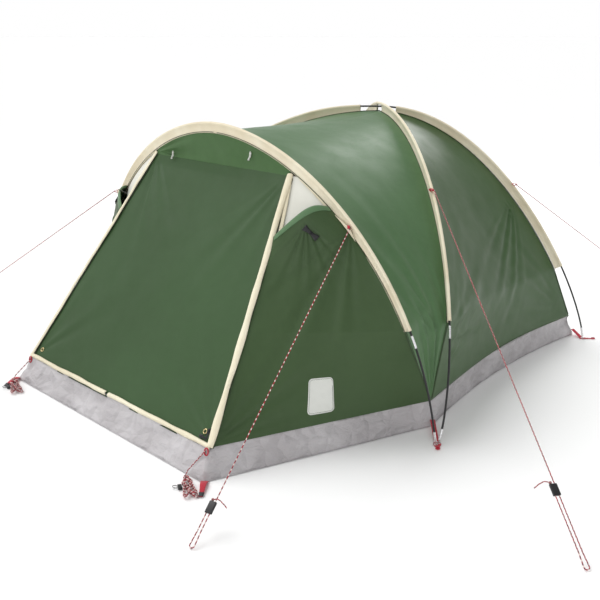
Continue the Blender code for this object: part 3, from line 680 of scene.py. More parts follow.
def fan(grid, origin, toward, spread, reach, waves, depth):
    """Folds that run out from a pulled point, within spread radians of the direction to another point."""
    grid = np.asarray(grid, float)
    origin, toward = np.array(origin, float), np.array(toward, float)
    axis = (toward - origin) / np.linalg.norm(toward - origin)
    where = np.unravel_index(np.argmin(np.linalg.norm(grid - toward, axis=2)), grid.shape[:2])
    normal = normals_of(grid)[where]
    side = np.cross(normal, axis)
    side /= np.linalg.norm(side)
    offset = grid - origin
    ahead, sideways = offset @ axis, offset @ side
    far = np.sqrt(ahead ** 2 + sideways ** 2)
    angle = np.arctan2(sideways, ahead)
    inside = np.clip(1 - np.abs(angle) / spread, 0.0, 1.0)
    shape = (np.cos(angle / spread * waves * math.pi)
             + 0.35 * np.cos(angle / spread * waves * 1.7 * math.pi + 1.3))
    return depth * np.clip(far / 0.05, 0, 1) * np.exp(-(far / reach) ** 2) * np.sqrt(inside) * shape


def waves_of(grid, scale, depth, seed, stretch=(1.0, 1.0, 1.0)):
    """Soft unevenness from noise."""
    grid = np.asarray(grid, float)
    shift = Vector((seed * 7.3, seed * 3.1, seed * 1.7))
    flat = grid.reshape(-1, 3) * (np.array(stretch) * scale)
    values = [noise.noise(Vector(p) + shift) for p in flat]
    return depth * np.array(values).reshape(grid.shape[:2])


def inner_mask(grid, edge=0.10):
    """0 at the sewn edges and 1 inside, so that seams stay on their lines."""
    rows, columns = np.asarray(grid).shape[:2]
    i = np.minimum(np.arange(rows), np.arange(rows)[::-1]) / (rows * edge)
    j = np.minimum(np.arange(columns), np.arange(columns)[::-1]) / (columns * edge)
    return np.clip(i, 0, 1)[:, None] * np.clip(j, 0, 1)[None, :]


def folded(grid, height, edge=0.10):
    grid = np.asarray(grid, float)
    return grid + normals_of(grid) * (height * inner_mask(grid, edge))[:, :, None]


# ---------------------------------------------------------------- fly panels
def sagged(point, amount):
    centre = Vector((0.0, APEX.y, 0.22))
    return point + (centre - point).normalized() * amount


def side_sag(share):
    return (SIDE_BOW - 0.010) * (1 - share) ** 1.3 + 0.010 * share * (1 - share) * 4


def rear_sag(share):
    return (REAR_EDGE_BOW - 0.010) * (1 - share) ** 1.3 + 0.010 * share * (1 - share) * 4


def roof_sag(share):
    return 0.020 * share


def panel(edge_a, edge_b, start, end, sag, rows=120, columns=90):
    grid = []
    for i in range(rows + 1):
        share = mix(start, end, i / rows)
        a, b = edge_a.share(share), edge_b.share(share)
        grid.append([sagged(mix(a, b, j / columns), sag(share) * 4 * (j / columns) * (1 - j / columns))
                     for j in range(columns + 1)])
    return grid


def build_fly():
    """Two sides and the rear between the main poles, and the porch roof."""
    for name, turn, front, rear in (("right", same, "front_right", "rear_right"),
                                    ("left", mirrored, "front_left", "rear_left")):
        grid = panel(SEAMS[front], SEAMS[rear], 0.0, 1.0, side_sag)
        low_front, low_rear = turn((0.93, -0.20, 0.16)), turn((0.80, 1.10, 0.16))
        height = fan(grid, turn((0.98, -0.27, 0.36)), turn((0.80, 0.65, 0.30)), 0.75, 0.62, 5, 0.0042)
        height = height + fan(grid, low_rear, turn((0.72, 0.35, 0.55)), 0.55, 0.60, 5, 0.0036)
        height = height + fan(grid, low_front, turn((0.75, 0.55, 0.75)), 0.40, 0.75, 3, 0.0030)
        height = height + fan(grid, turn((0.60, 0.93, 0.74)), turn((0.84, 0.35, 0.30)), 0.42, 0.62, 5, 0.0046)
        height = height + waves_of(grid, 2.2, 0.007, 1) + waves_of(grid, 9.0, 0.0016, 2, (1.0, 1.0, 0.4))
        cloth_piece(f"fly_{name}", folded(grid, height), LOOKS["fly"], "tent", (f"fly_{name}",),
                    held="stretched")
    grid = panel(SEAMS["rear_right"], SEAMS["rear_left"], 0.0, 1.0, rear_sag)
    height = waves_of(grid, 2.0, 0.007, 3) + waves_of(grid, 9.0, 0.0016, 4, (1.0, 1.0, 0.4))
    for turn in (same, mirrored):
        height = height + fan(grid, turn((0.80, 1.15, 0.16)), turn((0.25, 1.0, 0.55)), 0.5, 0.6, 4, 0.004)
    cloth_piece("fly_rear", folded(grid, height), LOOKS["fly"], "tent", ("fly_rear",),
                held="stretched")

    right = panel(SEAMS["front_right"], SEAMS["hoop_right"], 0.0, 1.0, roof_sag, 130, 60)
    left = panel(SEAMS["front_left"], SEAMS["hoop_left"], 0.0, 1.0, roof_sag, 130, 60)
    grid = np.array(right + left[-2::-1], float)
    height = waves_of(grid, 1.8, 0.006, 5) + waves_of(grid, 8.0, 0.0014, 6)
    for turn in (same, mirrored):
        height = height + fan(grid, turn((0.955, -0.235, 0.105)), turn((0.885, -0.30, 0.62)),
                              0.30, 0.50, 4.0, 0.0075)
        height = height + fan(grid, turn((0.985, -0.245, 0.395)), turn((0.90, -0.36, 0.62)),
                              0.50, 0.34, 3.0, 0.0050)
    cloth_piece("porch_roof", folded(grid, height, 0.06), LOOKS["roof"], "tent", ("porch_roof",),
                held="stretched")


# ---------------------------------------------------------------- porch: sides, vents and brow
DOOR_TOP_Y = SEAMS["hoop_right"].at_height(DOOR_TOP_Z).y - 0.004
DOOR_TOP = Vector((0.0, DOOR_TOP_Y, DOOR_TOP_Z))
DOOR_UP = (DOOR_TOP - Vector((0.0, PORCH_TOP.y, PORCH_TOP.z))).normalized()
DOOR_OUT = Vector((1, 0, 0)).cross(DOOR_UP)
DOOR_LENGTH = (DOOR_TOP - Vector((0.0, PORCH_TOP.y, PORCH_TOP.z))).length
ZIP_TOP = Vector((DOOR_TOP_HALF, DOOR_TOP_Y, DOOR_TOP_Z))


def side_point(across, height):
    """A point of the right porch side: across runs from the zip (0) to the hoop's seam (1)."""
    front = mix(PORCH_TOP, ZIP_TOP, (height - SKIRT_HEIGHT) / (DOOR_TOP_Z - SKIRT_HEIGHT))
    back = SEAMS["hoop_right"].at_height(height)
    return mix(front, back, across)


def side_normal(across, height):
    along = side_point(1.0, height) - side_point(0.0, height)
    up = side_point(across, height + 0.01) - side_point(across, height - 0.01)
    normal = along.cross(up).normalized()
    return normal if normal.x > 0 else -normal


def lip_height(across, lip):
    return mix(lip[0], lip[1], 1 - (1 - across) ** 2)


def hood_point(across, share, lip, swell):
    """The hood: share runs from the vent's foot (0) to its lip (1)."""
    height = mix(VENT_FOOT, lip_height(across, lip), share)
    off = swell * math.sin(math.pi * across) ** 0.7 * smooth(share * 0.9) ** 1.2
    return side_point(across, height) + side_normal(across, height) * off


def door_point(x, up, out=0.0):
    """A point given across the door, up from its foot and out of it."""
    return DOOR_TOP + Vector((x, 0.0, 0.0)) + DOOR_UP * (up - DOOR_LENGTH) + DOOR_OUT * out


def zip_x(up):
    return mix(PORCH_TOP.x, DOOR_TOP_HALF, up / DOOR_LENGTH)


def read_grid(grid, row, column):
    """The point of a grid at a fractional row and column."""
    i, j = min(int(row), len(grid) - 2), min(int(column), len(grid[0]) - 2)
    low = mix(grid[i][j], grid[i][j + 1], column - j)
    return Vector(mix(low, mix(grid[i + 1][j], grid[i + 1][j + 1], column - j), row - i))


def build_porch_side(name, turn, lip, swell):
    """One side of the porch: the green panel, and the vent hood that is its upper end."""
    low_rows, hood_rows, columns = 100, 44, 70
    shares = [j / columns for j in range(columns + 1)]
    grid = [[turn(side_point(s, mix(SKIRT_HEIGHT, VENT_FOOT, i / low_rows))) for s in shares]
            for i in range(low_rows)]
    grid += [[turn(hood_point(s, i / hood_rows, lip, swell)) for s in shares] for i in range(hood_rows + 1)]
    tab = turn(hood_point(0.46, 0.86, lip, swell))
    corner = turn((0.738, -0.50, 0.832))
    height = fan(grid, corner, turn((0.72, -0.90, 0.15)), 0.55, 0.75, 4, 0.0045)
    height = height + fan(grid, turn((0.66, -1.12, 0.12)), turn((0.78, -0.70, 0.40)), 0.55, 0.5, 4, 0.0036)
    height = height + fan(grid, tab, turn(side_point(0.42, 0.45)), 0.95, 0.20, 7, 0.0044)
    height = height + waves_of(grid, 2.6, 0.006, 7) + waves_of(grid, 10.0, 0.0012, 8, (1.0, 1.0, 0.4))
    grid = folded(grid, height, 0.05)
    side = cloth_piece(f"porch_side_{name}", grid[:low_rows + 1], LOOKS["side"], "tent",
                       held="stretched")
    if name == "right":
        build_patch(grid)
    hood_grid = grid[low_rows:]
    hood = cloth_piece(f"vent_hood_{name}", hood_grid, LOOKS["side"], "tent", (f"vent_hood_{name}",),
                       held="hung")
    side.modifiers["thickness"].use_rim = hood.modifiers["thickness"].use_rim = False
    top = [Vector(p) for p in hood_grid[-1]]
    normal = [Vector(n) * (1 if Vector(n).dot(Vector(turn(side_normal(0.5, 0.7)))) > 0 else -1)
              for n in normals_of(hood_grid)[-1]]
    down = [(Vector(hood_grid[-6][j]) - p).normalized() for j, p in enumerate(top)]
    hem = [[p + d * drop + n * out for p, d, n in list(zip(top, down, normal))[3:-3]]
           for out, drop in ((0.0010, 0.024), (0.0032, 0.020), (0.0036, 0.010), (0.0030, 0.002),
                             (0.0, -0.0010),
                             (-0.0030, 0.002), (-0.0034, 0.012), (-0.0020, 0.022))]
    # The hem band's lighter green is painted light on the hood's own cloth.
    hood_hem = cloth_piece(f"vent_hem_{name}", hem, LOOKS["lip"], "tent")

    rows, columns = 60, 40
    grid = []
    for height in [mix(lip[0] - 0.07, DOOR_TOP_Z - 0.004, i / rows) for i in range(rows + 1)]:
        inset = side_normal(0.5, 0.8) * mix(-0.018, -0.003, smooth((height - lip[0] + 0.05) / 0.10))
        grid.append([turn(side_point(j / columns, height) + inset) for j in range(columns + 1)])
    cloth_piece(f"vent_panel_{name}", folded(grid, waves_of(grid, 5.0, 0.006, 10), 0.08), LOOKS["vent"],
                "tent", held="stretched")
    flaps = build_vent_tab(name, hood_grid, normal[len(normal) // 2])
    build_vent_squash(turn, lip, (hood, hood_hem, *flaps))
    build_vent_edges(name, turn, lip)


def build_vent_tab(name, grid, out):
    """The small black bow that the hood's strut is sewn behind."""
    rows, columns = len(grid) - 1, len(grid[0]) - 1
    points = [read_grid(grid, rows * mix(0.80, 0.62, i / 12),
                        columns * mix(0.42, 0.55, i / 12)) + out * 0.0045
              for i in range(13)]
    across = (points[-1] - points[0]).cross(out)
    bow = ribbon_grid(points, lambda s: 0.010 + 0.032 * abs(s - 0.5), across)
    knot = ribbon_grid([mix(points[5], points[7], i / 4) + out * 0.0022 for i in range(5)], lambda s: 0.014,
                       across)
    return [cloth_piece(f"vent_tab_{name}_{part}", rows, LOOKS["plastic"], "tent", thickness=thick)
            for part, rows, thick in (("bow", bow, 0.0022), ("knot", knot, 0.0030))]


def build_vent_squash(turn, lip, pieces):
    """Gives each of the hood's pieces its own copy of its mesh."""
    height = lip_height(0.5, lip)
    foot, out = turn(side_point(0.5, height)), Vector(turn(side_normal(0.5, height)))
    for piece in pieces:
        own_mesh(piece)


def build_vent_edges(name, turn, lip):
    """Cream binding round the vent, beside the zip flap and the sleeve."""
    out = Vector(turn(side_normal(0.5, 0.8)))
    for part, share, low in (("front", 0.085, lip[0] - 0.02), ("back", 0.955, lip[1] + 0.004)):
        points = [Vector(turn(side_point(share, mix(low, DOOR_TOP_Z - 0.012, i / 20)))) + out * 0.0022
                  for i in range(21)]
        across = (points[-1] - points[0]).cross(out)
        cloth_piece(f"vent_edge_{name}_{part}", ribbon_grid(points, lambda s: 0.014, across), LOOKS["tape"],
                    "tent", thickness=0.0012)


def build_vent_strut(name, turn):
    """A flat strut with a rounded end between the vent's panel and its hood."""
    height = 0.788
    foot = turn(side_point(0.5, height) + side_normal(0.5, height) * 0.004)
    out = Vector(turn(side_normal(0.5, height)))
    along = Vector(turn((side_point(0.9, height) - side_point(0.1, height)).normalized()))
    rows = []
    for i in range(13):
        share = i / 12
        half = 0.010 * (1.0 if share < 0.8 else math.sqrt(max(1 - ((share - 0.8) / 0.22) ** 2, 0.02)))
        rows.append([foot + out * (0.046 * share) + along * half * s for s in (-1.0, -0.5, 0.0, 0.5, 1.0)])
    piece = cloth_piece(f"vent_strut_{name}", rows, LOOKS["plastic"], f"strut_{name}",
                        (f"vent_strut_{name}",), thickness=0.0016)
    edge = piece.modifiers.new("edge", "BEVEL")
    edge.width = 0.0004
    edge.segments = 2


def build_brow():
    """The strip of fabric over the door, up to the hoop's seam."""
    hoop = SEAMS["hoop_right"]
    climb = [p for p in hoop.points if p.z > DOOR_TOP_Z]
    columns, rows = 110, 26
    grid = []
    xs = [mix(DOOR_TOP_HALF, -DOOR_TOP_HALF, j / columns) for j in range(columns + 1)]
    highs = [np.array([np.interp(-abs(x), [-p.x for p in climb], [getattr(p, axis) for p in climb])
                       for x in xs]) for axis in ("y", "z")]
    for i in range(rows + 1):
        row = []
        for j, x in enumerate(xs):
            low = Vector((x, DOOR_TOP_Y, DOOR_TOP_Z)) - DOOR_UP * 0.010 - DOOR_OUT * 0.0014
            high = Vector((x, float(highs[0][j]), max(float(highs[1][j]), DOOR_TOP_Z + 0.001)))
            row.append(mix(low, high, i / rows))
        grid.append(row)
    height = waves_of(grid, 3.0, 0.008, 11) + waves_of(grid, 12.0, 0.0015, 12)
    height = height + fan(grid, (-0.44, -0.52, 1.0), (-0.15, -0.53, 1.09), 0.5, 0.30, 2.0, 0.008)
    return cloth_piece("door_brow", folded(grid, height, 0.12), LOOKS["brow"], "tent",
                       ("porch_front",), held="stretched")


# ---------------------------------------------------------------- porch door, zips and their flaps
def build_door():
    rows, columns = 120, 100
    grid = []
    for i in range(rows + 1):
        up = mix(0.002, DOOR_LENGTH, i / rows)
        half = zip_x(up) - 0.004
        grid.append([door_point(mix(half, -half, j / columns), up) for j in range(columns + 1)])
    height = (waves_of(grid, 1.7, 0.010, 13, (1.0, 1.0, 0.7))
              + waves_of(grid, 7.0, 0.0016, 14, (1.0, 0.6, 0.6)))
    for side in (1, -1):
        height = height + fan(grid, (0.44 * side, -0.52, 1.0), (0.20 * side, -0.85, 0.5), 0.5, 0.5, 3, 0.0040)
        height = height + fan(grid, (0.64 * side, -1.13, 0.11), (0.30 * side, -0.95, 0.45),
                              0.6, 0.4, 3, 0.0036)
    door = cloth_piece("front_door", folded(grid, height, 0.05), LOOKS["door"], None)
    door.name = "front_door_made"
    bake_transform(door)
    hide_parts("front_door")
    declare_sheet(grid)


def flap_grid(points, across, out, half, seed, wander):
    """A strip of folded cloth over a zip, with edges that wander a little."""
    rows = []
    for i, point in enumerate(points):
        share = i / (len(points) - 1)
        wide = half * (1 + wander * noise.noise(Vector((share * 7.0, seed, 0.0))))
        shift = half * wander * noise.noise(Vector((share * 4.0, seed, 5.0)))
        lift = 0.0035 * noise.noise(Vector((share * 16.0, seed, 9.0)))
        row = []
        for s in (-1.0, -0.72, -0.35, 0.0, 0.35, 0.72, 1.0):
            crown = 0.0062 * (1 - s * s) + lift * (1 - abs(s) * 0.5)
            row.append(point + across * (wide * s + shift) + out * crown)
        rows.append(row)
    return rows


def build_zips():
    """Flaps over the zips, and each zip's two toothed tapes."""
    for name, turn, seed in (("right", same, 1.0), ("left", mirrored, 2.0)):
        points = [mix(PORCH_TOP, ZIP_TOP, i / 140) for i in range(141)]
        points = [Vector(turn(p)) for p in points]
        along = (points[-1] - points[0]).normalized()
        out = (DOOR_OUT + Vector(turn(side_normal(0.0, 0.5)))).normalized()
        across = along.cross(out).normalized()
        out = across.cross(along).normalized()
        out = out if out.dot(DOOR_OUT) > 0 else -out
        lifted = [p + out * 0.004 for p in points]
        cloth_piece(f"zip_flap_{name}", flap_grid(lifted, across, out, 0.0125, seed, 0.45), LOOKS["tape"],
                    "tent", thickness=0.0014)
        for part, body, shift, top in (("outer", "tent", 1, 141), ("inner", "door", -1, 130)):
            sideways = across * shift * (1 if across.x * (1 if name == "right" else -1) > 0 else -1)
            tape = [[p + sideways * s - out * 0.0022 for s in (0.0010, 0.0075, 0.0140)] for p in points[:top]]
            cloth_piece(f"zip_tape_{name}_{part}", tape, LOOKS["piping"], body, thickness=0.0006)
            coil = [p + sideways * 0.0018 - out * 0.0012 for p in points[:top]]
            tube_piece(f"zip_teeth_{name}_{part}", coil, 0.0012, LOOKS["plastic"], body, sides=8)
    for part, start, end, seed in (("left", -0.650, -0.030, 3.0), ("right", -0.012, 0.650, 4.0)):
        points = [door_point(mix(start, end, i / 70), 0.003, 0.004) for i in range(71)]
        cloth_piece(f"zip_flap_bottom_{part}", flap_grid(points, DOOR_UP, DOOR_OUT, 0.0088, seed, 0.28),
                    LOOKS["tape"], "tent", thickness=0.0014)
    # The outer bottom tape shows as a dark strip below the flaps: partly the real tape, partly painted shade
    # for the shadow line under the flap.
    for part, body, shift in (("outer", "tent", -1), ("inner", "door", 1)):
        points = [door_point(mix(-0.640, 0.640, i / 60), 0.002, -0.0022) for i in range(61)]
        tape = [[p + DOOR_UP * s * shift for s in (0.0010, 0.0075, 0.0140)] for p in points]
        cloth_piece(f"zip_tape_bottom_{part}", tape, LOOKS["piping"], body, thickness=0.0006)
        coil = [p + DOOR_UP * 0.0018 * shift + DOOR_OUT * 0.001 for p in points]
        tube_piece(f"zip_teeth_bottom_{part}", coil, 0.0012, LOOKS["plastic"], body, sides=8)


def build_zip_slider(name, place, body, node):
    """A slider: a waisted body, a bridge and a pull with a hole."""
    rounded_block(f"{name}_body", (0.012, 0.019, 0.0050), place, LOOKS["plastic"], body, 0.0014,
                  (node,))
    rounded_block(f"{name}_bridge", (0.004, 0.013, 0.0030), place @ Matrix.Translation((0, 0, 0.0036)),
                  LOOKS["plastic"], body, 0.0009)
    rounded_block(f"{name}_pull", (0.0075, 0.030, 0.0018), place @ Matrix.Translation((0, -0.019, 0.0034)),
                  LOOKS["plastic"], body, 0.0008,
                  holes=[(Matrix.Translation((0, -0.010, 0)), 0.0017)])


def build_sliders():
    place = frame_matrix(DOOR_TOP, Vector((1, 0, 0)), DOOR_UP, DOOR_OUT)
    lean = math.atan2(PORCH_TOP.x - DOOR_TOP_HALF, DOOR_LENGTH)
    side = place @ Matrix.Translation((PORCH_TOP.x - 0.032, -DOOR_LENGTH + 0.052, 0.0065))
    build_zip_slider("zip_slider_side", side @ Matrix.Rotation(lean, 4, "Z"), "zip_side", "zip_slider_side")
    low = place @ Matrix.Translation((PORCH_TOP.x - 0.060, -DOOR_LENGTH + 0.0235, 0.0065))
    build_zip_slider("zip_slider_bottom", low @ Matrix.Rotation(math.pi / 2, 4, "Z"), "zip_bottom",
                     "zip_slider_bottom")


def build_door_trim():
    """Eyelets in the door's lower corners, and the toggles that hold the rolled door."""
    for name, side in (("right", 1), ("left", -1)):
        centre = door_point(0.590 * side, 0.045, 0.0022)
        ring_piece(f"door_eyelet_{name}", centre, DOOR_OUT, 0.0085, 0.0020, LOOKS["brass"], "door")
        top = (Vector((0.215, DOOR_TOP_Y - 0.010, 1.052)) if side > 0
               else Vector((-0.305, DOOR_TOP_Y - 0.012, 1.004)))
        loop = [top + Vector((0.004 * math.sin(a), -0.002, 0.012 * math.cos(a) + 0.004))
                for a in (2 * math.pi * i / 24 for i in range(25))]
        tube_piece(f"toggle_loop_{name}", loop, 0.0012, LOOKS["pale"], "tent", sides=8)
        ends = [top + Vector((-0.007, -0.006, -0.019)), top + Vector((0.006, -0.004, 0.012))]
        body = [mix(ends[0], ends[1], i / 12) for i in range(13)]
        tube_piece(f"toggle_{name}", body, lambda s: 0.0042 - 0.0016 * math.sin(math.pi * s), LOOKS["pale"],
                   "tent")


def build_patch(grid):
    """A plain sewn patch, which follows the porch side's cloth."""
    row, column = 22.0, 33.0
    here = read_grid(grid, row, column)
    per_row = 1 / (read_grid(grid, row + 1, column) - here).length
    per_column = 1 / (read_grid(grid, row, column + 1) - here).length
    out = (read_grid(grid, row, column + 4) - here).cross(
        read_grid(grid, row + 4, column) - here).normalized()
    out = out if out.x > 0 else -out
    half_wide, half_tall, corner = 0.052, 0.070, 0.016

    def place(x, y, lift):
        return read_grid(grid, row + y * per_row, column + x * per_column) + out * lift

    rows = []
    for y in [half_tall * math.sin(math.pi / 2 * mix(-1.0, 1.0, i / 32)) for i in range(33)]:
        over = max(abs(y) - (half_tall - corner), 0.0)
        wide = half_wide - corner + math.sqrt(max(corner ** 2 - over ** 2, 0.0))
        rows.append([place(wide * mix(-1.0, 1.0, j / 20), y, 0.0018) for j in range(21)])
    cloth_piece("plain_patch", rows, LOOKS["patch"], "tent", thickness=0.0010)
    outline, inset = [], 0.005
    for sx, sy, turn in ((1, 1, 0.0), (-1, 1, 0.5), (-1, -1, 1.0), (1, -1, 1.5)):
        for k in range(7):
            a = math.pi * (turn + k / 12)
            outline.append((sx * (half_wide - corner) + (corner - inset) * math.cos(a),
                            sy * (half_tall - corner) + (corner - inset) * math.sin(a)))
    outline.append(outline[0])
    line = [place(mix(a[0], b[0], k / 6), mix(a[1], b[1], k / 6), 0.0026)
            for a, b in zip(outline, outline[1:]) for k in range(6)]
    tube_piece("patch_stitching", line, 0.0005, LOOKS["piping"], "tent", sides=6)


# ---------------------------------------------------------------- poles and sleeves
def stretch(route, start, end, count):
    return [route.at(mix(start, end, i / (count - 1))) for i in range(count)]


def build_pole(name, route):
    length, middle = route.length, route.length / 2
    for end, flipped in (("1", False), ("2", True)):
        def reach(distance):
            return length - distance if flipped else distance

        def tip_radius(share):
            return TIP_RADIUS * (0.55 + 0.45 * smooth(share / 0.12)) * (0.94 if 0.70 < share < 0.78 else 1.0)

        tube_piece(f"{name}_tip_{end}", stretch(route, reach(0.0), reach(TIP_LENGTH), 60), tip_radius,
                   LOOKS["steel"], "tent", (f"{name}_tip_{end}",), 20)
        tube_piece(f"{name}_end_{end}", stretch(route, reach(TIP_LENGTH), reach(SECTION), 50), POLE_RADIUS,
                   LOOKS["rod"], "tent", (f"{name}_end_{end}",), 16)
        half = FERRULE_LENGTH / 2

        def ferrule_radius(share):
            return FERRULE_RADIUS + (0.0004 if min(share, 1 - share) < 0.06 else 0.0)

        tube_piece(f"{name}_ferrule_{end}", stretch(route, reach(SECTION - half), reach(SECTION + half), 40),
                   ferrule_radius, LOOKS["steel"], "tent", (f"{name}_ferrule_{end}",), 20)
        tube_piece(f"{name}_run_{end}", stretch(route, reach(SECTION), reach(middle), 120), POLE_RADIUS,
                   LOOKS["rod"], "tent", (f"{name}_run_{end}",), 16)


def sleeve_ring(drop, radius):
    """A tunnel round the pole at (0, 0), closing to a flat band that runs down to the seam."""
    top = [(radius * math.cos(a), radius * math.sin(a))
           for a in (math.radians(-38 + 256 * i / 14) for i in range(15))]
    shares = [0.0] if drop < 0.018 else [0.25, 0.5, 0.75, 1.0]
    left = [(-mix(0.0028, 0.0014, s) if s < 1 else -0.0042, mix(-radius, -drop, s)) for s in shares]
    right = [(-x, y) for x, y in left[::-1]]
    if drop < 0.018:
        left, right = [(-0.003, -radius * 0.95)] * 4, [(0.003, -radius * 0.95)] * 4
        left = [(-0.0048 + 0.0006 * i, -radius * (0.72 + 0.07 * i)) for i in range(4)]
        right = [(-x, y) for x, y in left[::-1]]
    return top + left + right


def build_sleeve(name, route, start, end, over_hoop, narrow=(NARROW, NARROW), crossing=None, level=None):
    count = int((end - start) / 0.010)
    rows = []
    for i in range(count + 1):
        distance = mix(start, end, i / count)
        point, tangent = route.at(distance), route.tangent(distance)
        away = outward(point, tangent, over_hoop)
        across = tangent.cross(away)
        near = crossing is not None and abs(distance - crossing) < 0.045
        lowered = (level.at(distance) - point).length if level else 0.0
        hem = 0.0012 if min(distance - start, end - distance) < 0.018 else 0.0
        swell = 0.0006 * noise.noise(Vector((distance * 30.0, 1.0, 0.0)))
        drop = rib_drop(distance, route.length, narrow[0 if distance < route.length / 2 else 1])
        ring = sleeve_ring(0.0 if near else drop + 0.003 - lowered, 0.0070 + hem * 0.5 + swell)
        wave = 0.0022 * noise.noise(Vector((distance * 9.0, 3.0, 0.0)))
        wave += 0.0010 * noise.noise(Vector((distance * 34.0, 5.0, 0.0)))
        row = []
        for x, y in ring:
            sway = wave * math.sin(math.pi * min(max(-y / RIB_DROP, 0.0), 1.0))
            row.append(point + across * (x + sway) + away * y)
        rows.append(row)
    piece = bpy.data.objects.new(name, grid_mesh(name, rows, LOOKS["cream"], closed=True))
    bpy.context.scene.collection.objects.link(piece)
    solid = piece.modifiers.new("thickness", "SOLIDIFY")
    solid.thickness = 0.0007
    solid.offset = -1.0
    return link(piece, "tent", (name,))


def build_seam_beads_and_painted_shade():
    """A dark bead on each side of a sleeve, where it is sewn to the fly: partly the seam's bound edge, partly
    painted shade for the shadow line along the sleeve.
    """
    for name, seam in SEAMS.items():
        over_hoop = name.startswith("hoop")
        points = [seam.at(mix(0.012, seam.length - 0.012, i / 160)) for i in range(161)]
        for side, heading in (("a", 1), ("b", -1)):
            line = []
            for i, point in enumerate(points):
                shift = heading * mix(0.0012, 0.0042, smooth((i / 160 - 0.12) / 0.08))
                ahead = (points[min(i + 1, 160)] - points[max(i - 1, 0)]).normalized()
                away = outward(point, ahead, over_hoop)
                line.append(point + ahead.cross(away).normalized() * shift + away * 0.0008)
            tube_piece(f"seam_{name}_{side}", line, 0.0014, LOOKS["piping"], "tent", sides=8)


# ---------------------------------------------------------------- skirt and groundsheet
def bowed_edge(a, b, bow, count):
    centre = Vector((0.0, 0.4, a.z))
    inward = centre - (a + b) / 2
    across = (b - a).normalized()
    inward = (inward - across * inward.dot(across)).normalized()
    return [mix(a, b, i / count) + inward * bow * 4 * (i / count) * (1 - i / count) for i in range(count)]


def sagged_edge(a, b, bow, count):
    return [sagged(mix(a, b, i / count), bow * 4 * (i / count) * (1 - i / count)) for i in range(count)]


def ring_of(corners, bows, count, edge):
    """A closed outline through the porch, front and rear corners, from the left end of the porch's edge."""
    porch, front, rear = corners
    legs = [(mirrored(porch), porch, 0.0), (porch, front, 0.0), (front, rear, bows[0]),
            (rear, mirrored(rear), bows[1]), (mirrored(rear), mirrored(front), bows[0]),
            (mirrored(front), mirrored(porch), 0.0)]
    return [p for a, b, bow in legs for p in edge(a, b, bow, count)]


def build_skirt():
    count, rows = 90, 14
    low = ring_of([c + Vector((0, 0, 0.001)) for c in (PORCH_CORNER, FRONT_CORNER, REAR_CORNER)],
                  (SIDE_BOW, REAR_EDGE_BOW), count, bowed_edge)
    high = ring_of((PORCH_TOP, FRONT_TOP, REAR_TOP), (SIDE_BOW - 0.010, REAR_EDGE_BOW - 0.010), count,
                   sagged_edge)
    grid = np.array([[mix(a, b, i / rows) for a, b in zip(low + low[:1], high + high[:1])]
                     for i in range(rows + 1)], float)
    normal = normals_of(grid)
    away = grid - grid.mean(axis=(0, 1))
    away[:, :, 2] = 0.0
    normal = normal * np.sign((normal * away).sum(axis=2, keepdims=True))
    ridge = waves_of(grid, 6.0, 1.0, 15, (1.0, 1.0, 1.6))
    ridge = 1 - 2 * np.abs(ridge)
    fine = 1 - 2 * np.abs(waves_of(grid, 15.0, 1.0, 16, (1.0, 1.0, 1.8)))
    height = 0.014 * (ridge - 0.6) + 0.0060 * (fine - 0.6) + waves_of(grid, 3.0, 0.014, 17)
    climb = np.linspace(0.0, 1.0, rows + 1)
    mask = np.sin(np.pi * np.clip(climb * 0.92 + 0.04, 0, 1)) ** 0.6
    mask[0] = 0.15
    mask[-1] = 0.0
    grid = grid + normal * (height * mask[:, None])[:, :, None]
    grid[:, :, 2] = np.maximum(grid[:, :, 2], 0.0012)
    grid[:, -1] = grid[:, 0]
    mesh = grid_mesh("skirt", grid[:, :-1], LOOKS["skirt"], closed=True)
    piece = bpy.data.objects.new("skirt", mesh)
    bpy.context.scene.collection.objects.link(piece)
    solid = piece.modifiers.new("thickness", "SOLIDIFY")
    solid.thickness = 0.0010
    solid.offset = 0.0
    link(piece, "tent", ("skirt",))
    declare_sheet(grid)
    hem = [Vector(p) + Vector((0, 0, 0.0020)) for p in low + low[:1]]
    tube_piece("skirt_hem", hem, 0.0017, LOOKS["skirt"], "tent", sides=8)


def build_groundsheet():
    outline = ring_of([c + Vector((0, 0, 0.0)) for c in (PORCH_CORNER, FRONT_CORNER, REAR_CORNER)],
                      (SIDE_BOW, REAR_EDGE_BOW), 30, bowed_edge)
    centre = Vector((0.0, 0.2, 0.0))
    outline = [centre + (p - centre) * 0.994 for p in outline]
    grid = np.array([[mix(centre, p, 0.02 + 0.98 * i / 40) for p in outline + outline[:1]]
                     for i in range(41)], float)
    lift = np.abs(waves_of(grid, 5.0, 0.006, 18)) + np.abs(waves_of(grid, 16.0, 0.002, 19))
    grid[:, :, 2] = 0.0010 + lift * np.clip((1 - np.linspace(0, 1, 41)) * 6, 0, 1)[:, None]
    grid[:, -1] = grid[:, 0]
    cloth_piece("groundsheet", grid, LOOKS["floor"], "tent", ("groundsheet",), held="laid",
                flat=(1.960, 2.380))


# ---------------------------------------------------------------- inner wall and its door
WALL_FOOT = Vector((0.0, WALL_FOOT_Y, 0.006))
WALL_UP = (Vector((0.0, WALL_TOP_Y, WALL_TOP_Z)) - WALL_FOOT).normalized()
WALL_OUT = Vector((1, 0, 0)).cross(WALL_UP)


def wall_point(x, up, out=0.0):
    return WALL_FOOT + Vector((x, 0, 0)) + WALL_UP * up + WALL_OUT * out


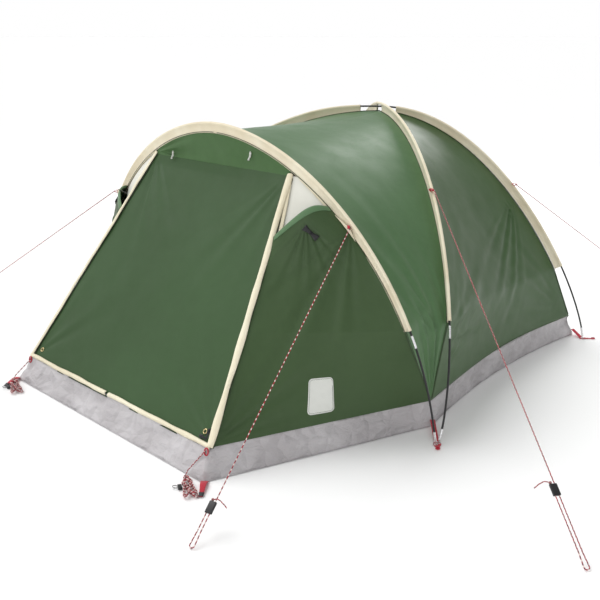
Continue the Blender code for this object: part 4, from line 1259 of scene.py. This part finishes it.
def door_arch(inset=0.0):
    """The inner doorway's outline, from the middle of its foot round to the right."""
    half, foot = INNER_DOOR_HALF - inset, INNER_DOOR_FOOT + inset
    spring = INNER_DOOR_FOOT + INNER_DOOR_HEIGHT - INNER_DOOR_HALF
    points = [(0.0, foot), (half, foot), (half, spring)]
    points += [(half * math.cos(a), spring + half * math.sin(a))
               for a in (math.pi * i / 30 for i in range(1, 31))]
    return points + [(-half, foot), (0.0, foot)]


def evenly(points, count):
    route = Route([Vector((x, y, 0.0)) for x, y in points])
    return [route.share(i / count).xy for i in range(count + 1)]


def build_inner():
    seam = SEAMS["front_right"]
    right = []
    for i in range(25):
        height = mix(SKIRT_HEIGHT, WALL_TOP_Z - 0.03, i / 24)
        right.append((seam.at_height(height).x * 0.90 - 0.045, height / WALL_UP.z))
    right.insert(0, (right[0][0], 0.0))
    outer = [(0.0, 0.0)] + right + [(-x, y) for x, y in right[::-1]] + [(0.0, 0.0)]
    outer, hole = evenly(outer, 160), evenly(door_arch(), 160)
    grid = []
    for i in range(31):
        row = []
        for a, b in zip(hole, outer):
            x, y = mix(a, b, i / 30)
            row.append(wall_point(x, y, -0.012 * math.sin(math.pi * i / 30)))
        grid.append(row)
    grid = np.array(grid, float)
    height = waves_of(grid, 3.0, 0.010, 20) + waves_of(grid, 11.0, 0.002, 21)
    cloth_piece("inner_wall", folded(grid, height, 0.06), LOOKS["inner"], "tent", ("inner_wall",),
                held="stretched", flat=(1.660, 1.190))
    leaf = evenly(door_arch(0.005), 160)
    middle = Vector((0.0, 0.50))
    grid = np.array([[wall_point(*mix(middle, p, 0.02 + 0.98 * i / 34)) for p in leaf] for i in range(35)],
                    float)
    bow = waves_of(grid, 3.0, 0.008, 22) + waves_of(grid, 10.0, 0.002, 23)
    fade = np.clip((1 - np.linspace(0, 1, 35)) * 5, 0, 1)[:, None]
    grid = grid + np.array(WALL_OUT) * (bow * fade)[:, :, None]
    grid[:, -1] = grid[:, 0]
    cloth_piece("inner_door", grid, LOOKS["inner"], "inner_leaf", ("inner_door",), held="hung",
                flat=(0.592, 0.772))
    for name, body, inset in (("wall", "tent", -0.002), ("leaf", "inner_leaf", 0.007)):
        line = [wall_point(p.x, p.y, 0.002) for p in evenly(door_arch(inset), 160)]
        tube_piece(f"inner_zip_{name}", line, 0.0020, LOOKS["plastic"], body, sides=8)


# ---------------------------------------------------------------- straps, loops and fittings
def ribbon_grid(points, width, across):
    across = across.normalized()
    return [[p + across * width(i / (len(points) - 1)) * s / 2 for s in (-1.0, -0.5, 0.0, 0.5, 1.0)]
            for i, p in enumerate(points)]


def smooth_line(points, count):
    """A soft curve through a few points."""
    knots = [Vector(p) for p in points]
    knots = [knots[0] * 2 - knots[1]] + knots + [knots[-1] * 2 - knots[-2]]
    line = []
    for k in range(1, len(knots) - 2):
        a, b, c, d = knots[k - 1:k + 3]
        for i in range(count):
            t = i / count
            line.append(0.5 * ((2 * b) + (c - a) * t + (2 * a - 5 * b + 4 * c - d) * t * t +
                               (3 * b - a - 3 * c + d) * t ** 3))
    return line + [knots[-2]]


def build_strap(name, corner, foot, end, stands_for):
    """A webbing strap from the skirt's corner down under the pole ends, to its peg loop."""
    start = mix(Vector((*corner.xy, 0.030)), Vector((*foot, 0.030)), 0.02)
    landing = Vector((*foot, 0.0035))
    flat = mix(start, landing, 0.84)
    points = [start, mix(start, landing, 0.5) - Vector((0, 0, 0.002)), Vector((flat.x, flat.y, 0.0042)),
              Vector((*foot, 0.0022)), Vector((*end, 0.0022))]
    along = Vector((*foot, 0.0)) - Vector((*corner.xy, 0.0))
    across = Vector((-along.y, along.x, 0.0))
    line = smooth_line(points, 14)
    def width(share):
        return 0.020 + 0.012 * smooth(1 - abs(share - 0.76) / 0.16) - 0.005 * smooth((share - 0.85) / 0.1)

    cloth_piece(name, ribbon_grid(line, width, across), LOOKS["webbing"], "tent", (stands_for,),
                thickness=0.0016)
    loop = Vector((*end, 0.0042))
    ring = [loop + Vector((0.008 * math.cos(a), 0.008 * math.sin(a), 0.0)) for a in
            (2 * math.pi * i / 28 for i in range(29))]
    tube_piece(f"{name}_loop", ring, 0.0022, LOOKS["webbing"], "tent", sides=10)


def build_straps():
    for name, side, turn in (("right", 1, same), ("left", -1, mirrored)):
        build_strap(f"strap_front_{name}", turn(FRONT_CORNER), (FRONT_FOOT[0] * side, FRONT_FOOT[1]),
                    (1.112 * side, -0.392), f"strap_front_{name}")
        build_strap(f"strap_rear_{name}", turn(REAR_CORNER), (REAR_FOOT[0] * side, REAR_FOOT[1]),
                    (0.935 * side, 1.18205), f"strap_rear_{name}")
        feet = ((FRONT_FOOT[1] + FOOT_SPREAD, FRONT_FOOT[0]), (FRONT_FOOT[1] - FOOT_SPREAD, FRONT_FOOT[0]),
                (REAR_FOOT[1], REAR_FOOT[0]))
        for k, (y, x) in enumerate(feet):
            ring_piece(f"grommet_{name}_{k}", Vector((x * side, y, 0.0046)), (0, 0, 1), 0.0072, 0.0016,
                       LOOKS["steel"], "tent")
        lug = Vector((PORCH_CORNER.x * side, PORCH_CORNER.y + 0.010, 0.0035))
        heading = Vector((0.70, -0.72, 0.0)) if side > 0 else Vector((0.42, -0.91, 0.0))
        line = smooth_line([lug, lug + heading * 0.035 + Vector((0, 0, 0.010)), lug + heading * 0.075 +
                            Vector((0, 0, 0.006)), lug + heading * 0.108], 8)
        across = Vector((-heading.y, heading.x, 0.0))
        cloth_piece(f"porch_tab_{name}", ribbon_grid(line, lambda s: mix(0.030, 0.012, s), across),
                    LOOKS["webbing"], "tent", thickness=0.0022)
        tip = [mix(line[-6], line[-1], i / 6) + Vector((0, 0, 0.0010)) for i in range(7)]
        cloth_piece(f"porch_tab_end_{name}", ribbon_grid(tip, lambda s: mix(0.0185, 0.0135, s), across),
                    LOOKS["plastic"], "tent", thickness=0.0046)
        corner = Vector((0.640 * side, -1.142, 0.098))
        loop = [corner + Vector((0.010 * math.sin(a) * side, -0.004 - 0.006 * (1 - math.cos(a)) / 2,
                                 0.013 * math.cos(a) - 0.006))
                                 for a in (2 * math.pi * i / 24 for i in range(25))]
        tube_piece(f"porch_loop_{name}", loop, 0.0026, LOOKS["webbing"], "tent", sides=10)


def build_gussets():
    """Triangles of cream cloth and red loops, where the guy lines pull."""
    for name, turn in (("right", same), ("left", mirrored)):
        seam = SEAMS["hoop_right"]
        tip = Vector((0.738, -0.508, 0.832)) if name == "right" else Vector((0.856, -0.490, 0.764))
        low, high = tip.z - 0.050, tip.z + 0.040
        rows = []
        for i in range(9):
            edge = seam.at_height(mix(low, high, i / 8)) + Vector((0.006, -0.012, 0.0))
            rows.append([turn(mix(edge, tip, j / 6)) for j in range(7)])
        cloth_piece(f"gusset_{name}", rows, LOOKS["cream"], "tent", thickness=0.0016)
    places = {"hoop_right": LINES["hoop_right"][0], "hoop_left": LINES["hoop_left"][0],
              "side_right": LINES["side_right"][0], "side_left": mirrored(LINES["side_right"][0]),
              "rear_right": LINES["rear_right"][0], "rear_left": mirrored(LINES["rear_right"][0])}
    for name, place in places.items():
        toward = Vector((place.x, place.y - 0.3, 0.0)).normalized()
        start = place - toward * 0.022
        line = smooth_line([start, mix(start, place, 0.5) + Vector((0, 0, 0.006)), place + toward * 0.004,
                            mix(start, place, 0.5) - Vector((0, 0, 0.006)), start], 8)
        across = toward.cross(Vector((0, 0, 1)))
        cloth_piece(f"guy_loop_{name}", ribbon_grid(line, lambda s: 0.010, across), LOOKS["webbing"], "tent",
                    thickness=0.0014)


# ---------------------------------------------------------------- guy lines and corner cords
def line_frame(start, end):
    along = (end - start).normalized()
    across = along.cross(Vector((0, 0, 1))).normalized()
    return along, across, across.cross(along)


def build_line(name, start, end, grip):
    """A guy line down to its peg's place and round it, its return strand, and the runner that grips both."""
    along, across, lift = line_frame(start, end)
    turn = end - along * LOOP_RADIUS
    down = [mix(start, turn - along * 0.05, i / 30) - across * LINE_SPREAD for i in range(31)]
    down += [turn - along * 0.025 - across * (LINE_SPREAD + LOOP_RADIUS) / 2]
    bend = [turn + (along * math.sin(a) - across * math.cos(a)) * LOOP_RADIUS
            for a in (math.pi * i / 12 for i in range(13))]
    bend += [turn - along * 0.025 + across * (LINE_SPREAD + LOOP_RADIUS) / 2]
    bend += [turn - along * 0.05 + across * LINE_SPREAD]
    main = down + bend
    piece = tube_piece(f"guy_line_{name}", main, CORD_RADIUS, LOOKS["rope"], "tent",
                       (f"guy_{name}",), 10)
    length = Route(main).length

    body = f"runner_{name}"
    seat = turn - along * grip
    back = [mix(turn - along * 0.0502, seat, i / 12) + across * LINE_SPREAD for i in range(13)]
    strand = tube_piece(f"guy_return_{name}", back, CORD_RADIUS, LOOKS["rope"], "tent", (), 10)
    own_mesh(strand)

    place = frame_matrix(seat, along, across, lift)
    upright = Matrix.Rotation(math.pi / 2, 4, "Y")
    holes = [(Matrix.Translation((0, shift, 0)) @ upright, 0.0027) for shift in (-LINE_SPREAD, LINE_SPREAD)]
    rounded_block(f"runner_{name}", (0.042, 0.026, 0.009), place, LOOKS["plastic"], body, 0.0026,
                  (f"tensioner_{name}",), holes)
    knot_at = seat - along * 0.026 + across * LINE_SPREAD
    bpy.ops.mesh.primitive_ico_sphere_add(subdivisions=3, radius=0.0052)
    knot = bpy.context.object
    knot.name = knot.data.name = f"guy_knot_{name}"
    for vertex in knot.data.vertices:
        vertex.co *= 1 + 0.16 * noise.noise(vertex.co * 420.0)
    knot.data.transform(Matrix.Translation(knot_at))
    knot.data.shade_smooth()
    knot.data.materials.append(LOOKS["rope"])
    link(knot, body)
    out = -across if name == "hoop_right" else across
    tail = smooth_line([knot_at, knot_at + out * 0.018 - along * 0.006, knot_at + out * 0.042 + along * 0.002,
                        knot_at + out * 0.058 + along * 0.010 - lift * 0.006], 8)
    tube_piece(f"guy_tail_{name}", tail, CORD_RADIUS * 0.95, LOOKS["rope"], body, sides=10)


def build_corner_cord(name):
    """The corner's cord: down the skirt, then wound up lengthwise into a tied hank on the ground."""
    centre, turn, side = HANKS[name]
    along = Vector((math.sin(turn), -math.cos(turn), 0.0))
    across = Vector((-along.y, along.x, 0.0))
    top = Vector((0.636 * side, -1.148, 0.096))
    low = centre - along * 0.081 + Vector((0.0, 0.0, 0.007))
    strand = [mix(top, low, i / 8) for i in range(9)]
    turns, step = 7, 36
    loops = []
    for k in range(turns * step + 1):
        number = k / step
        a = math.pi + 2 * math.pi * number
        lean = math.radians(11 + 3 * math.sin(number * 1.7)) * math.sin(math.pi * number)
        reach = 0.062 + 0.006 * math.sin(number * 2.4)
        x = reach * math.copysign(abs(math.cos(a)) ** 0.7, math.cos(a)) + 0.030
        y = (0.0085 + 0.0010 * abs(number - 3.5)) * math.sin(a)
        x, y = x * math.cos(lean) - y * math.sin(lean), x * math.sin(lean) + y * math.cos(lean)
        z = -0.0095 + 0.0028 * number + 0.0012 * math.sin(a * 0.5)
        loops.append(centre + along * (x - 0.026) + across * y + Vector((0, 0, z)))
    path = strand[:-1] + [mix(low, loops[0], 0.35)] + loops
    piece = tube_piece(f"corner_cord_{name}", path, CORD_RADIUS, LOOKS["rope"], "tent",
                       (f"corner_cord_{name}", f"corner_hank_{name}"), 10)
    bpy.ops.mesh.primitive_ico_sphere_add(subdivisions=3, radius=0.0050)
    knot = bpy.context.object
    knot.name = knot.data.name = f"corner_knot_{name}"
    knot.data.transform(Matrix.Translation(path[-1]))
    knot.data.shade_smooth()
    knot.data.materials.append(LOOKS["rope"])
    link(knot, "tent")
    wraps = []
    for k in range(3 * 28 + 1):
        a = 2 * math.pi * k / 28
        shift = -0.030 + 0.0044 * k / 28
        wraps.append(centre + along * shift + across * (0.018 * math.cos(a)) +
                     Vector((0.0, 0.0, 0.0005 + 0.0125 * math.sin(a))))
    tie = tube_piece(f"corner_tie_{name}", wraps, CORD_RADIUS, LOOKS["rope"], "tent", sides=10)
    lock_at = centre - along * 0.012 - across * 0.028 - Vector((0, 0, 0.0065))
    lock = rounded_block(f"corner_lock_{name}", (0.026, 0.015, 0.010), frame_matrix(lock_at, along, across,
                         Vector((0, 0, 1))), LOOKS["plastic"], "tent", 0.0022)
    ring = ring_piece(f"corner_ring_{name}",
                      lock_at - across * 0.015 - along * 0.008 + Vector((0, 0, -0.0015)), (0.1, 0.2, 1.0),
                      0.0100, 0.0014, LOOKS["wire"], "tent")
    Route(path).length


# ---------------------------------------------------------------- everything
build_studio()
for line_name, (line_start, line_end, line_grip) in LINES.items():
    build_line(line_name, line_start, line_end, line_grip)
for hank_name in HANKS:
    build_corner_cord(hank_name)
for pole_name, pole_route in (("pole_a", POLE_A), ("pole_b", POLE_B), ("hoop", HOOP)):
    build_pole(pole_name, pole_route)
build_sleeve("sleeve_a", POLE_A, SLEEVE_END["main_front"], POLE_A.length - SLEEVE_END["main_rear"], False,
             (NARROW, RIB_DROP), crossing=HALF)
build_sleeve("sleeve_b_front", POLE_B, SLEEVE_END["main_front"], HALF - SLEEVE_GAP[0], False, level=PLAIN_B)
build_sleeve("sleeve_b_rear", POLE_B, HALF + SLEEVE_GAP[1], POLE_B.length - SLEEVE_END["main_rear"], False,
             (NARROW, RIB_DROP), level=PLAIN_B)
build_sleeve("sleeve_hoop", HOOP, SLEEVE_END["hoop"], HOOP.length - SLEEVE_END["hoop"], True)
build_seam_beads_and_painted_shade()
build_fly()
for side_name, side_turn in (("right", same), ("left", mirrored)):
    build_porch_side(side_name, side_turn, *HOODS[side_name])
    build_vent_strut(side_name, side_turn)
build_brow()
build_door()
build_zips()
build_sliders()
build_door_trim()
build_skirt()
build_groundsheet()
build_inner()
build_straps()
build_gussets()
